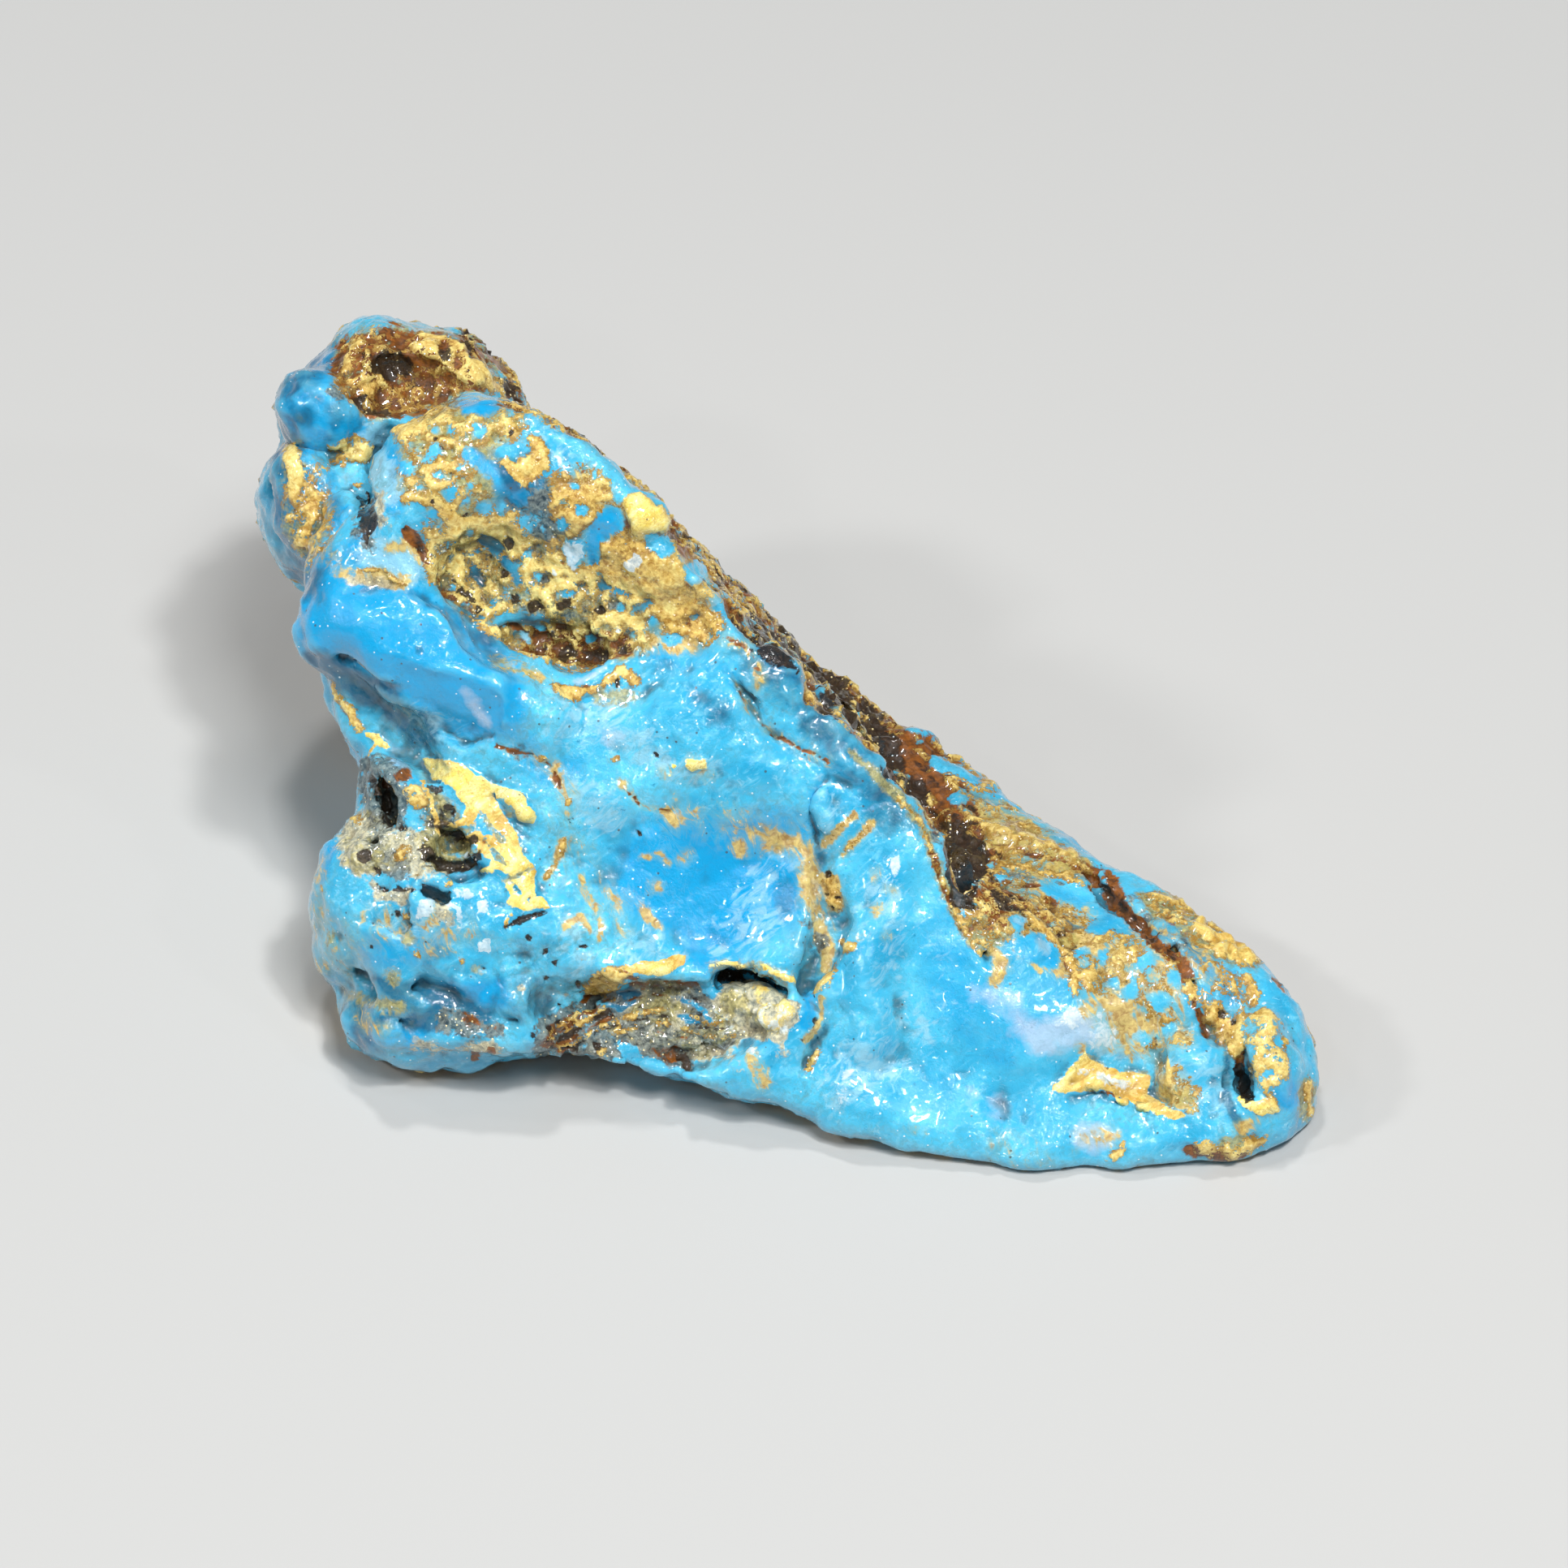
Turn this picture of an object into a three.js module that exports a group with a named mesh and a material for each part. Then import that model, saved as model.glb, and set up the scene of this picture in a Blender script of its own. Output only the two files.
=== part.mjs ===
// A rough lump of bright blue stone, broken out as a single piece: a broad front face that leans
// back, a crest that falls from a high shoulder to a low slab, a crusted pit under the shoulder, a
// glossy rib across the left flank, a shallow basin with a layered hollow below it, a rounded lobe
// behind the shoulder, a steep dark slope behind the crest and a blunt nose at the right end.
// It rests on a flat patch underneath.
//
// The shape is written as a field that is negative inside the stone: blocks bounded by planes,
// with lumps and bars blended on, hollows and creases blended off, and uneven noise over it all.
// The surface where the field is zero is meshed on a regular grid as one closed solid.
//
// Millimetres, +Z up. The stone's own feature coordinates are (u, v, w) in the frame of the broad
// face: u to the right, v up the face, w out of it. The origin of the finished part is the middle
// of its bounding box on the ground.
import * as THREE from "three";

// ---- driving dimensions ----
const LEAN_DEG = 42; // elevation of the broad face's outward normal
const GRID = 1.42; // spacing of the meshing grid
const LOW = [-33, -3.5]; // near left corner of the grid on the ground
const HIGH = [32.5, 50, 33.5]; // far right top corner of the grid
const CENTRE = [-0.4, 22.9]; // middle of the stone's bounding box before it is moved to the origin
const BACK_LEAN = [0.747, 0.665, 0.08]; // outward normal of the steep slope behind the crest
const SLAB_TOP = [0.146, 0.171, 0.974]; // upward normal of the low slab's top, in ground axes
const SLAB_RISE = 9.4; // height of the slab's top at the foot of the crest
const SWELL = { period: 6.0, height: 0.5 }; // slow unevenness of every surface
const LUMPINESS = { period: 2.6, height: 0.32 }; // finer unevenness
const WANDER = { period: 5.2, reach: 0.8, depth: 0.5 }; // how far features stray from true ovals
const RAGGED = { period: 2.1, reach: 0.35 }; // finer straying
const BASE_ROUND = 1.2; // width of the rounding round the flat patch underneath
const BLUE = 0x2f93d8;

const SIN = Math.sin(THREE.MathUtils.degToRad(LEAN_DEG));
const COS = Math.cos(THREE.MathUtils.degToRad(LEAN_DEG));

// A point or direction given on the ground axes (x right, y back, z up), in face coordinates.
function ground(x, y, z) {
  return [x, y * SIN + z * COS, z * SIN - y * COS];
}

// The same for one point of a bar, with its radius.
function rod(x, y, z, radius) {
  return [...ground(x, y, z), radius];
}

// ---- rounded masses: centre, radii, turn in the face plane in degrees, width of the blend ----
const LUMPS = [
  { name: "shoulder", at: [-17.6, 36.8, -6.2], size: [6.2, 6.8, 6.9], turn: 0, blend: 2.0 },
  { name: "shoulder brow", at: [-17.8, 41.0, -2.6], size: [3.4, 1.8, 2.0], turn: 12, blend: 0.8 },
  { name: "upper back lobe", at: [-22.5, 42.3, -15.5], size: [6.9, 6.3, 7.5], turn: 0, blend: 1.6 },
  { name: "lower back lobe", at: [-24.6, 37.5, -14.5], size: [6.3, 5.4, 6.8], turn: 0, blend: 1.2 },
  { name: "lobe bump", at: [-26.8, 43.2, -10.0], size: [2.9, 2.4, 2.8], turn: -20, blend: 0.6 },
  { name: "lobe cheek", at: [-27.8, 37.8, -9.4], size: [2.4, 3.2, 2.4], turn: 8, blend: 0.7 },
  { name: "crevice lump", at: [-25.4, 35.6, -7.2], size: [1.9, 2.4, 2.2], turn: 0, blend: 0.6 },
  { name: "back column", at: [-18.2, 30.5, -14.5], size: [6.0, 10.0, 8.0], turn: 0, blend: 3.0 },
  { name: "dark hummock", at: [2.6, 24.2, -9.0], size: [2.2, 3.0, 2.8], turn: 40, blend: 1.0 },
  { name: "left lobe", at: [-19.4, 14.0, -5.6], size: [7.8, 6.8, 7.2], turn: 0, blend: 1.5 },
  { name: "left foot", at: [-20.2, 8.2, -5.2], size: [5.3, 3.3, 5.0], turn: 0, blend: 0.7 },
  { name: "lobe swell", at: [-23.2, 15.6, -3.2], size: [3.4, 3.2, 3.4], turn: 0, blend: 0.8 },
  { name: "nose tip", at: [26.9, 4.3, -2.4], size: [3.1, 4.3, 4.4], turn: 0, blend: 1.0 },
  { name: "nose bulb", at: [23.3, 4.6, -0.9], size: [2.3, 3.1, 2.4], turn: 10, blend: 0.5 },
  { name: "lens chip", at: [2.3, 19.5, 0.5], size: [0.8, 2.2, 0.8], turn: -6, blend: 0.25 },
  { name: "crest fold", at: [-1.6, 26.6, -0.6], size: [2.4, 3.2, 1.5], turn: -38, blend: 0.6 },
  { name: "upper fold", at: [-5.0, 25.2, -0.3], size: [3.6, 2.0, 1.2], turn: -30, blend: 0.8 },
  { name: "dark lump", at: [2.8, 24.6, -4.4], size: [1.3, 2.2, 1.6], turn: 30, blend: 0.4 },
  { name: "pit boss", at: [-11.6, 31.4, -2.0], size: [1.6, 1.1, 1.2], turn: 10, blend: 0.3 },
  { name: "nodule", at: [-8.0, 36.3, -0.3], size: [1.2, 1.2, 1.0], turn: 0, blend: 0.3 },
  { name: "upper nodule", at: [-15.1, 39.6, -0.9], size: [1.3, 1.2, 0.9], turn: 0, blend: 0.3 },
  { name: "middle swell", at: [-5.0, 22.6, -1.6], size: [6.0, 3.0, 2.4], turn: -18, blend: 1.2 },
  { name: "right swell", at: [11.5, 8.5, -3.4], size: [8.0, 6.0, 4.2], turn: -28, blend: 1.5 },
];

// ---- ridges: points along each one as u, v, w and radius, and the width of the blend ----
const BARS = [
  {
    name: "back buttress",
    points: [rod(-22.0, 38.0, 15.0, 6.2), rod(-18.5, 36.5, 8.0, 7.0), rod(-15.5, 34.0, 3.0, 8.0)],
    blend: 3.0,
  },
  {
    name: "far swell",
    points: [rod(0.2, 33.4, 4.9, 2.6), rod(6.2, 27.6, 4.9, 2.6), rod(13.4, 20.0, 4.0, 2.3)],
    blend: 1.5,
  },
  {
    name: "far ridge",
    points: [rod(13.2, 19.9, 4.9, 2.1), rod(19.3, 15.2, 4.7, 2.1), rod(25.2, 10.6, 4.0, 1.9)],
    blend: 1.2,
  },
  {
    name: "rib",
    points: [[-25, 30.4, -2.6, 3], [-21.2, 29, -0.6, 3], [-17, 27.2, -0.3, 2.7], [-13.6, 25.2, -0.7, 1.9]],
    blend: 0.7,
  },
  {
    name: "pale edge",
    points: [[-21.2, 36.6, -3.0, 2.2], [-25.0, 32.7, -3.6, 2.6]],
    blend: 1.0,
  },
  {
    name: "left flank",
    points: [[-24.0, 27.6, -5.0, 2.7], [-22.6, 23.0, -5.0, 2.2], [-22.4, 19.0, -4.0, 2.2]],
    blend: 1.2,
  },
  {
    name: "flake",
    points: [[-20, 22.4, -0.6, 0.9], [-17.2, 20.8, 0, 1.2], [-15.4, 17.8, 0.1, 1.1], [-14.2, 15.6, 0, 0.9]],
    blend: 0.35,
  },
  {
    name: "left ledge",
    points: [[-11.8, 9.8, -0.9, 0.8], [-10.2, 10.7, -0.3, 0.8], [-7.4, 10.7, -0.2, 0.7], [-5.8, 11.6, 0, 0.7]],
    blend: 0.3,
  },
  {
    name: "wedge flake",
    points: [[15.2, 3.9, 0.4, 0.6], [18.2, 4.2, 0.3, 1.0], [20.8, 3.3, 0.2, 0.9], [22.6, 2.3, 0.0, 0.7]],
    blend: 0.5,
  },
  {
    name: "right shoulder of the basin",
    points: [[7.6, 17.6, -0.5, 1.2], [4.6, 12.0, 0.1, 1.3], [4.4, 7.0, 0.0, 1.2]],
    blend: 1.2,
  },
  {
    name: "crest lip",
    points: [[2.6, 24.2, -0.9, 0.9], [6.6, 20.4, -0.8, 1.0], [8.6, 17.2, -0.6, 0.9], [9.4, 13.6, -0.5, 0.8]],
    blend: 0.7,
  },
  {
    name: "toe",
    points: [
      [3.4, 3.5, -0.8, 1.1],
      [9.0, 2.2, -0.6, 1.2],
      [13.6, 0.3, 0.1, 1.4],
      [18.2, 0.5, 0.0, 1.4],
      [25.2, 0.9, -0.1, 1.3],
    ],
    blend: 1.0,
  },
];

// ---- hollows: as the lumps, taken away ----
const HOLLOWS = [
  { name: "pit", at: [-12.6, 31.2, 1.4], size: [9.4, 4.2, 4.6], turn: -24, blend: 0.8 },
  { name: "pit floor", at: [-13.2, 29.4, -2.2], size: [3.4, 1.5, 1.7], turn: -12, blend: 0.4 },
  { name: "pit nook", at: [-17.8, 33.6, -1.6], size: [1.6, 2.0, 1.6], turn: -30, blend: 0.4 },
  { name: "pit end", at: [-6.4, 30.2, 0.6], size: [2.6, 3.2, 1.8], turn: -50, blend: 0.5 },
  { name: "under the rib", at: [-23.4, 24.6, 1.0], size: [5.2, 2.3, 3.9], turn: -34, blend: 0.5 },
  { name: "basin", at: [-3.4, 15.8, 3.8], size: [6.0, 5.8, 5.9], turn: 20, blend: 0.7 },
  { name: "left of the basin", at: [-10.4, 17.0, 3.6], size: [4.4, 4.6, 4.3], turn: 0, blend: 0.9 },
  { name: "layered hollow", at: [-8.0, 7.8, 1.4], size: [7.2, 3.2, 4.3], turn: -4, blend: 0.5 },
  { name: "arch", at: [-2.0, 9.8, -0.6], size: [2.5, 1.4, 3.2], turn: -6, blend: 0.25 },
  { name: "crest hole", at: [10.1, 16.2, -3.2], size: [1.2, 2.3, 3.6], turn: 14, blend: 0.4 },
  { name: "dark trough", at: [5.6, 21.6, -8.0], size: [2.2, 6.0, 4.0], turn: 42, blend: 0.8 },
  { name: "nose pit", at: [25.7, 4.9, 0.6], size: [0.9, 1.9, 2.2], turn: 8, blend: 0.25 },
  { name: "saddle", at: [-22.9, 38.2, -6.4], size: [1.5, 4.4, 4.0], turn: 0, blend: 0.5 },
  { name: "crevice cavity", at: [-23.9, 39.0, -5.6], size: [1.1, 1.2, 2.4], turn: 0, blend: 0.3 },
  { name: "lobe hollow", at: [-21.2, 44.8, -8.0], size: [3.8, 2.2, 3.0], turn: -4, blend: 0.5 },
  { name: "upper cavity", at: [-18.9, 18.2, 0.2], size: [1.3, 1.0, 1.4], turn: -20, blend: 0.2 },
  { name: "lower cavity", at: [-18.6, 16.6, 0.4], size: [1.7, 0.9, 1.3], turn: 0, blend: 0.2 },
  { name: "flank cavity", at: [-22.8, 20.4, -1.6], size: [0.9, 1.9, 1.5], turn: 12, blend: 0.2 },
];

// ---- ledges inside the layered hollow ----
const LEDGES = [
  {
    name: "first layer",
    points: [[-11.6, 7.6, -1.2, 0.6], [-8.0, 8.4, -1.6, 0.7], [-4.4, 8.0, -1.9, 0.6], [-0.8, 8.0, -1.3, 0.6]],
    blend: 0.3,
  },
  {
    name: "second layer",
    points: [[-11.0, 6.0, -0.9, 0.6], [-7.4, 6.3, -1.2, 0.6], [-3.6, 5.8, -1.2, 0.6], [-0.2, 5.6, -0.8, 0.6]],
    blend: 0.3,
  },
];

// ---- creases: as the ridges, taken away ----
const CREASES = [
  {
    name: "long crease",
    points: [
      [2.7, 22.4, 0.4, 0.4],
      [1.6, 20.6, 0.2, 0.6],
      [1.5, 19.0, 0.0, 0.8],
      [2.0, 16.6, 0.0, 0.9],
      [2.7, 13.6, 0.0, 0.9],
      [1.9, 11.6, 0.0, 0.7],
      [1.2, 9.8, 0.0, 0.6],
    ],
    blend: 0.4,
  },
  {
    name: "foot crease",
    points: [
      [-24.2, 10.8, -2.6, 0.5],
      [-21.8, 9.6, -0.6, 0.7],
      [-19.4, 9.6, 0.4, 0.8],
      [-17.4, 9.0, 0.6, 0.7],
      [-15.2, 7.2, 0.4, 0.5],
    ],
    blend: 0.4,
  },
  {
    name: "slab groove",
    points: [
      [17.2, 15.9, -7.6, 0.7],
      [20.2, 13.0, -4.0, 0.8],
      [22.4, 11.3, -2.2, 0.8],
      [23.8, 8.0, 0.6, 0.7],
      [25.0, 6.3, 0.6, 0.6],
    ],
    blend: 0.4,
  },
  {
    name: "foot of the crest",
    points: [[10.0, 15.8, -2.4, 0.9], [10.6, 13.4, -0.8, 0.8], [11.6, 11.6, 0.4, 0.6]],
    blend: 0.4,
  },
  {
    name: "bulb crease",
    points: [[25.1, 6.6, 0.8, 0.6], [25.4, 4.0, 0.5, 0.6], [25.0, 1.4, 0.0, 0.6]],
    blend: 0.4,
  },
  {
    name: "rib crease",
    points: [[-25.4, 28.4, -0.9, 0.5], [-21.6, 26.4, 0.9, 0.6], [-18.0, 24.6, 1.0, 0.5]],
    blend: 0.4,
  },
];

// ---- distances ----
function plane(p, at, normal) {
  const [a, b, c] = normal;
  return ((p[0] - at[0]) * a + (p[1] - at[1]) * b + (p[2] - at[2]) * c) / Math.hypot(a, b, c);
}

function oval(p, at, size, turn) {
  const angle = THREE.MathUtils.degToRad(turn);
  const du = p[0] - at[0];
  const dv = p[1] - at[1];
  const a = du * Math.cos(angle) + dv * Math.sin(angle);
  const b = dv * Math.cos(angle) - du * Math.sin(angle);
  const c = p[2] - at[2];
  const k0 = Math.hypot(a / size[0], b / size[1], c / size[2]);
  const k1 = Math.hypot(a / size[0] ** 2, b / size[1] ** 2, c / size[2] ** 2);
  return (k0 * (k0 - 1)) / Math.max(k1, 1e-9);
}

function bar(p, points) {
  let least = Infinity;
  for (let i = 1; i < points.length; i += 1) {
    const a = points[i - 1];
    const b = points[i];
    const du = b[0] - a[0];
    const dv = b[1] - a[1];
    const dw = b[2] - a[2];
    const along = (p[0] - a[0]) * du + (p[1] - a[1]) * dv + (p[2] - a[2]) * dw;
    const t = THREE.MathUtils.clamp(along / (du * du + dv * dv + dw * dw), 0, 1);
    const gap = Math.hypot(p[0] - a[0] - t * du, p[1] - a[1] - t * dv, p[2] - a[2] - t * dw);
    least = Math.min(least, gap - a[3] - t * (b[3] - a[3]));
  }
  return least;
}

function join(a, b, blend) {
  const h = THREE.MathUtils.clamp(0.5 + (0.5 * (b - a)) / blend, 0, 1);
  return b + (a - b) * h - blend * h * (1 - h);
}

function trim(a, b, blend) {
  return -join(-a, -b, blend);
}

// ---- unevenness: gradient noise on a lattice, about -1 to 1 ----
function scramble(i, j, k, seed) {
  let h = Math.imul(i, 374761393) ^ Math.imul(j, 668265263) ^ Math.imul(k, 2147483647);
  h ^= Math.imul(seed, 974634777);
  h ^= h >>> 13;
  h = Math.imul(h, 1274126177);
  h ^= h >>> 16;
  h = Math.imul(h, 2246822519);
  h ^= h >>> 15;
  return h;
}

function fade(t) {
  return t * t * t * (t * (t * 6 - 15) + 10);
}

function noise(p, period, seed) {
  const q = [p[0] / period, p[1] / period, p[2] / period];
  const cell = q.map(Math.floor);
  const f = [q[0] - cell[0], q[1] - cell[1], q[2] - cell[2]];
  const s = f.map(fade);
  let sum = 0;
  for (let corner = 0; corner < 8; corner += 1) {
    const a = corner >> 2;
    const b = (corner >> 1) & 1;
    const c = corner & 1;
    const h = scramble(cell[0] + a, cell[1] + b, cell[2] + c, seed);
    const gu = (h & 1023) / 511.5 - 1;
    const gv = ((h >>> 10) & 1023) / 511.5 - 1;
    const gw = ((h >>> 20) & 1023) / 511.5 - 1;
    const weight = (a ? s[0] : 1 - s[0]) * (b ? s[1] : 1 - s[1]) * (c ? s[2] : 1 - s[2]);
    sum += weight * (gu * (f[0] - a) + gv * (f[1] - b) + gw * (f[2] - c));
  }
  return sum * 1.3;
}

function stray(p) {
  return [
    p[0] + WANDER.reach * noise(p, WANDER.period, 11) + RAGGED.reach * noise(p, RAGGED.period, 14),
    p[1] + WANDER.reach * noise(p, WANDER.period, 12) + RAGGED.reach * noise(p, RAGGED.period, 15),
    p[2] + WANDER.depth * noise(p, WANDER.period, 13),
  ];
}

// ---- the two blocks that the stone is built up from ----
// The wedge carries the broad face in front and the steep slope behind the crest.
function wedge(p) {
  let f = plane(p, [0, 0, 0.2], [0, 0, 1]);
  f = trim(f, plane(p, [-4.7, 33, 0], BACK_LEAN), 1);
  f = trim(f, plane(p, [-17, 42.2, -3], [-0.15, 0.8, -0.1]), 4);
  f = trim(f, plane(p, [-23.6, 25, -4], [-1, 0, 0]), 2.5);
  f = trim(f, plane(p, ground(-14, 38, 12), ground(-0.1, 1, 0)), 5);
  return trim(f, plane(p, [-10, 6.3, -2], [0, -1, 0.1]), 1);
}

// The slab lies behind and to the right of the wedge, low and roughly level.
function slab(p) {
  let f = plane(p, ground(10.6, 8, SLAB_RISE), ground(...SLAB_TOP));
  f = trim(f, plane(p, [0, 0, 0.5], [0.05, -0.02, 1]), 2.5);
  f = trim(f, plane(p, ground(15.6, 22.4, 6), ground(0.683, 0.73, -0.12)), 2.5);
  f = trim(f, plane(p, [29.9, 4.5, 0], [1, 0.05, 0]), 3);
  f = trim(f, plane(p, [1.5, 2.2, 0], [-0.3, -0.95, 0]), 1.5);
  f = trim(f, plane(p, ground(-18, 40, 4), ground(-0.55, 0.83, 0)), 3);
  return trim(f, plane(p, [-16, 0, 0], [-1, 0, 0]), 3);
}

function stoneField(p) {
  const q = stray(p);
  let f = join(wedge(p), slab(p), 1);
  for (const { at, size, turn, blend } of LUMPS) {
    f = join(f, oval(q, at, size, turn), blend);
  }
  for (const { points, blend } of BARS) {
    f = join(f, bar(q, points), blend);
  }
  for (const { at, size, turn, blend } of HOLLOWS) {
    f = trim(f, -oval(q, at, size, turn), blend);
  }
  for (const { points, blend } of LEDGES) {
    f = join(f, bar(q, points), blend);
  }
  for (const { points, blend } of CREASES) {
    f = trim(f, -bar(q, points), blend);
  }
  f -= SWELL.height * noise(p, SWELL.period, 1);
  f -= LUMPINESS.height * noise(p, LUMPINESS.period, 2);
  return f;
}

// The stone above the ground plane, on ground axes, with the edge of its flat patch rounded.
function fieldAt(x, y, z) {
  return trim(stoneField(ground(x, y, z)), -z, BASE_ROUND);
}

// ---- the field sampled on a grid whose second level lies half a step above the ground ----
const origin = [LOW[0], LOW[1], -GRID / 2];
const count = [0, 1, 2].map((k) => Math.ceil((HIGH[k] - origin[k]) / GRID) + 1);
const stepX = count[1] * count[2];
const stepY = count[2];
const steps = [stepX, stepY, 1];
const value = new Float64Array(count[0] * stepX);
for (let i = 0; i < count[0]; i += 1) {
  for (let j = 0; j < count[1]; j += 1) {
    for (let k = 0; k < count[2]; k += 1) {
      const x = origin[0] + GRID * i;
      const y = origin[1] + GRID * j;
      const z = origin[2] + GRID * k;
      value[i * stepX + j * stepY + k] = fieldAt(x, y, z);
    }
  }
}

// A cell's corner c is one step on in x, y and z where bits 0, 1 and 2 of c are set.
const CORNER_STEP = [];
for (let c = 0; c < 8; c += 1) {
  CORNER_STEP.push((c & 1) * stepX + ((c >> 1) & 1) * stepY + ((c >> 2) & 1));
}

// True where the corners of a cell on one side of the surface are all linked by cell edges.
function linked(code, side) {
  const members = [];
  for (let c = 0; c < 8; c += 1) {
    if (((code >> c) & 1) === side) members.push(c);
  }
  if (members.length === 0) return true;
  const reached = new Set([members[0]]);
  const todo = [members[0]];
  while (todo.length > 0) {
    const c = todo.pop();
    for (const bit of [1, 2, 4]) {
      const next = c ^ bit;
      if (((code >> next) & 1) === side && !reached.has(next)) {
        reached.add(next);
        todo.push(next);
      }
    }
  }
  return reached.size === members.length;
}

const ONE_SHEET = [];
for (let code = 0; code < 256; code += 1) {
  ONE_SHEET.push(linked(code, 1) && linked(code, 0));
}

function codeAt(at) {
  let code = 0;
  for (let c = 0; c < 8; c += 1) {
    if (value[at + CORNER_STEP[c]] < 0) code |= 1 << c;
  }
  return code;
}

function eachCell(visit) {
  for (let i = 0; i < count[0] - 1; i += 1) {
    for (let j = 0; j < count[1] - 1; j += 1) {
      for (let k = 0; k < count[2] - 1; k += 1) {
        visit(i * stepX + j * stepY + k, [i, j, k]);
      }
    }
  }
}

// Two sheets of surface inside one cell are merged by filling the thinnest gap between them.
let mended = 1;
while (mended > 0) {
  mended = 0;
  eachCell((at) => {
    if (ONE_SHEET[codeAt(at)]) return;
    let least = null;
    for (const step of CORNER_STEP) {
      const here = value[at + step];
      if (here >= 0 && (least === null || here < value[least])) least = at + step;
    }
    value[least] = -0.02 * GRID;
    mended += 1;
  });
}

// ---- one vertex in every cell that the surface crosses ----
const positions = [];
const vertexOf = new Int32Array(value.length).fill(-1);

function slope(x, y, z) {
  const d = 0.05;
  return [
    (fieldAt(x + d, y, z) - fieldAt(x - d, y, z)) / (2 * d),
    (fieldAt(x, y + d, z) - fieldAt(x, y - d, z)) / (2 * d),
    (fieldAt(x, y, z + d) - fieldAt(x, y, z - d)) / (2 * d),
  ];
}

eachCell((at, cell) => {
  const code = codeAt(at);
  if (code === 0 || code === 255) return;
  const middle = [0, 0, 0];
  let crossings = 0;
  for (let a = 0; a < 8; a += 1) {
    for (const bit of [1, 2, 4]) {
      const b = a | bit;
      if (a === b || ((code >> a) & 1) === ((code >> b) & 1)) continue;
      const va = value[at + CORNER_STEP[a]];
      const vb = value[at + CORNER_STEP[b]];
      const t = va / (va - vb);
      for (let k = 0; k < 3; k += 1) {
        const start = (a >> k) & 1;
        const end = (b >> k) & 1;
        middle[k] += start + t * (end - start);
      }
      crossings += 1;
    }
  }
  const low = cell.map((n, k) => origin[k] + GRID * n);
  const spot = middle.map((m, k) => low[k] + (GRID * m) / crossings);
  if (cell[2] === 0) {
    spot[2] = 0;
  } else {
    // Moved onto the true surface, staying in its own cell.
    const g = slope(...spot);
    const steep = Math.max(g[0] * g[0] + g[1] * g[1] + g[2] * g[2], 0.05);
    const f = fieldAt(...spot);
    for (let k = 0; k < 3; k += 1) {
      const moved = spot[k] - (f * g[k]) / steep;
      spot[k] = THREE.MathUtils.clamp(moved, low[k] + 0.06 * GRID, low[k] + 0.94 * GRID);
    }
  }
  vertexOf[at] = positions.length / 3;
  positions.push(spot[0] - CENTRE[0], spot[1] - CENTRE[1], spot[2]);
});

// ---- two triangles round every grid edge that the surface crosses, split on the shorter way ----
const triangles = [];

function reach(a, b) {
  return Math.hypot(
    positions[3 * a] - positions[3 * b],
    positions[3 * a + 1] - positions[3 * b + 1],
    positions[3 * a + 2] - positions[3 * b + 2],
  );
}

eachCell((at, cell) => {
  for (let axis = 0; axis < 3; axis += 1) {
    const side = (axis + 1) % 3;
    const up = (axis + 2) % 3;
    if (cell[side] === 0 || cell[up] === 0) continue;
    const inside = value[at] < 0;
    if (inside === value[at + steps[axis]] < 0) continue;
    const ring = [at, at - steps[side], at - steps[side] - steps[up], at - steps[up]];
    if (!inside) ring.reverse();
    const [a, b, c, d] = ring.map((n) => vertexOf[n]);
    if (reach(a, c) <= reach(b, d)) {
      triangles.push(a, b, c, a, c, d);
    } else {
      triangles.push(a, b, d, b, c, d);
    }
  }
});

const geometry = new THREE.BufferGeometry();
geometry.setAttribute("position", new THREE.Float32BufferAttribute(positions, 3));
geometry.setIndex(triangles);
geometry.computeVertexNormals();

const stone = new THREE.Mesh(
  geometry,
  new THREE.MeshStandardMaterial({ color: BLUE, roughness: 0.32, metalness: 0, flatShading: true }),
);
stone.name = "rough_stone";

const group = new THREE.Group();
group.add(stone);
export default group;
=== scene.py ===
import math
import bpy
import numpy as np
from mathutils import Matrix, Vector


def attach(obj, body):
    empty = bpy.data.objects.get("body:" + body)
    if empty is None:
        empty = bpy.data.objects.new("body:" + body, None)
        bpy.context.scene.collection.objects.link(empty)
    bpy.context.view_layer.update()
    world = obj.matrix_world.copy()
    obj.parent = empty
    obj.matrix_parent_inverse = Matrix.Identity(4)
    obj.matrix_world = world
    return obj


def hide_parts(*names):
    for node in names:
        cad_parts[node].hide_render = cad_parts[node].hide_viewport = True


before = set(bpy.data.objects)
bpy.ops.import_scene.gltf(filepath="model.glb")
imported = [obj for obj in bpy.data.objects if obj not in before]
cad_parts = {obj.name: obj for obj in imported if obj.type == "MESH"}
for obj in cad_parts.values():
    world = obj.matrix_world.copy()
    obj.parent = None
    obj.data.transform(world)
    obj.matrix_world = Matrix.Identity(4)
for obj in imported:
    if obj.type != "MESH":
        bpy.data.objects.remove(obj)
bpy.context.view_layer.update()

# The stone's features are given in millimetres in the frame of its broad front face: u to the
# right, v up the face, w out of it. The face's normal stands LEAN_DEG above the horizon.
LEAN_DEG = 42
SIN, COS = math.sin(math.radians(LEAN_DEG)), math.cos(math.radians(LEAN_DEG))
CENTRE = np.array([-0.4, 22.9])   # middle of the stone's bounding box before it is moved to the origin
EYE = (-0.14, 21.38, 450.0)       # the camera's place in face coordinates
HALF_VIEW = 44.515                # half the width that the camera sees at the face, in millimetres
GRID = 0.25                       # the cells in which the surface is found, in millimetres
MOST_TRIANGLES = 196000


def ground(x, y, z, *rest):
    """A point or direction on the ground axes, in face coordinates."""
    return (x, y * SIN + z * COS, z * SIN - y * COS) + rest


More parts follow.
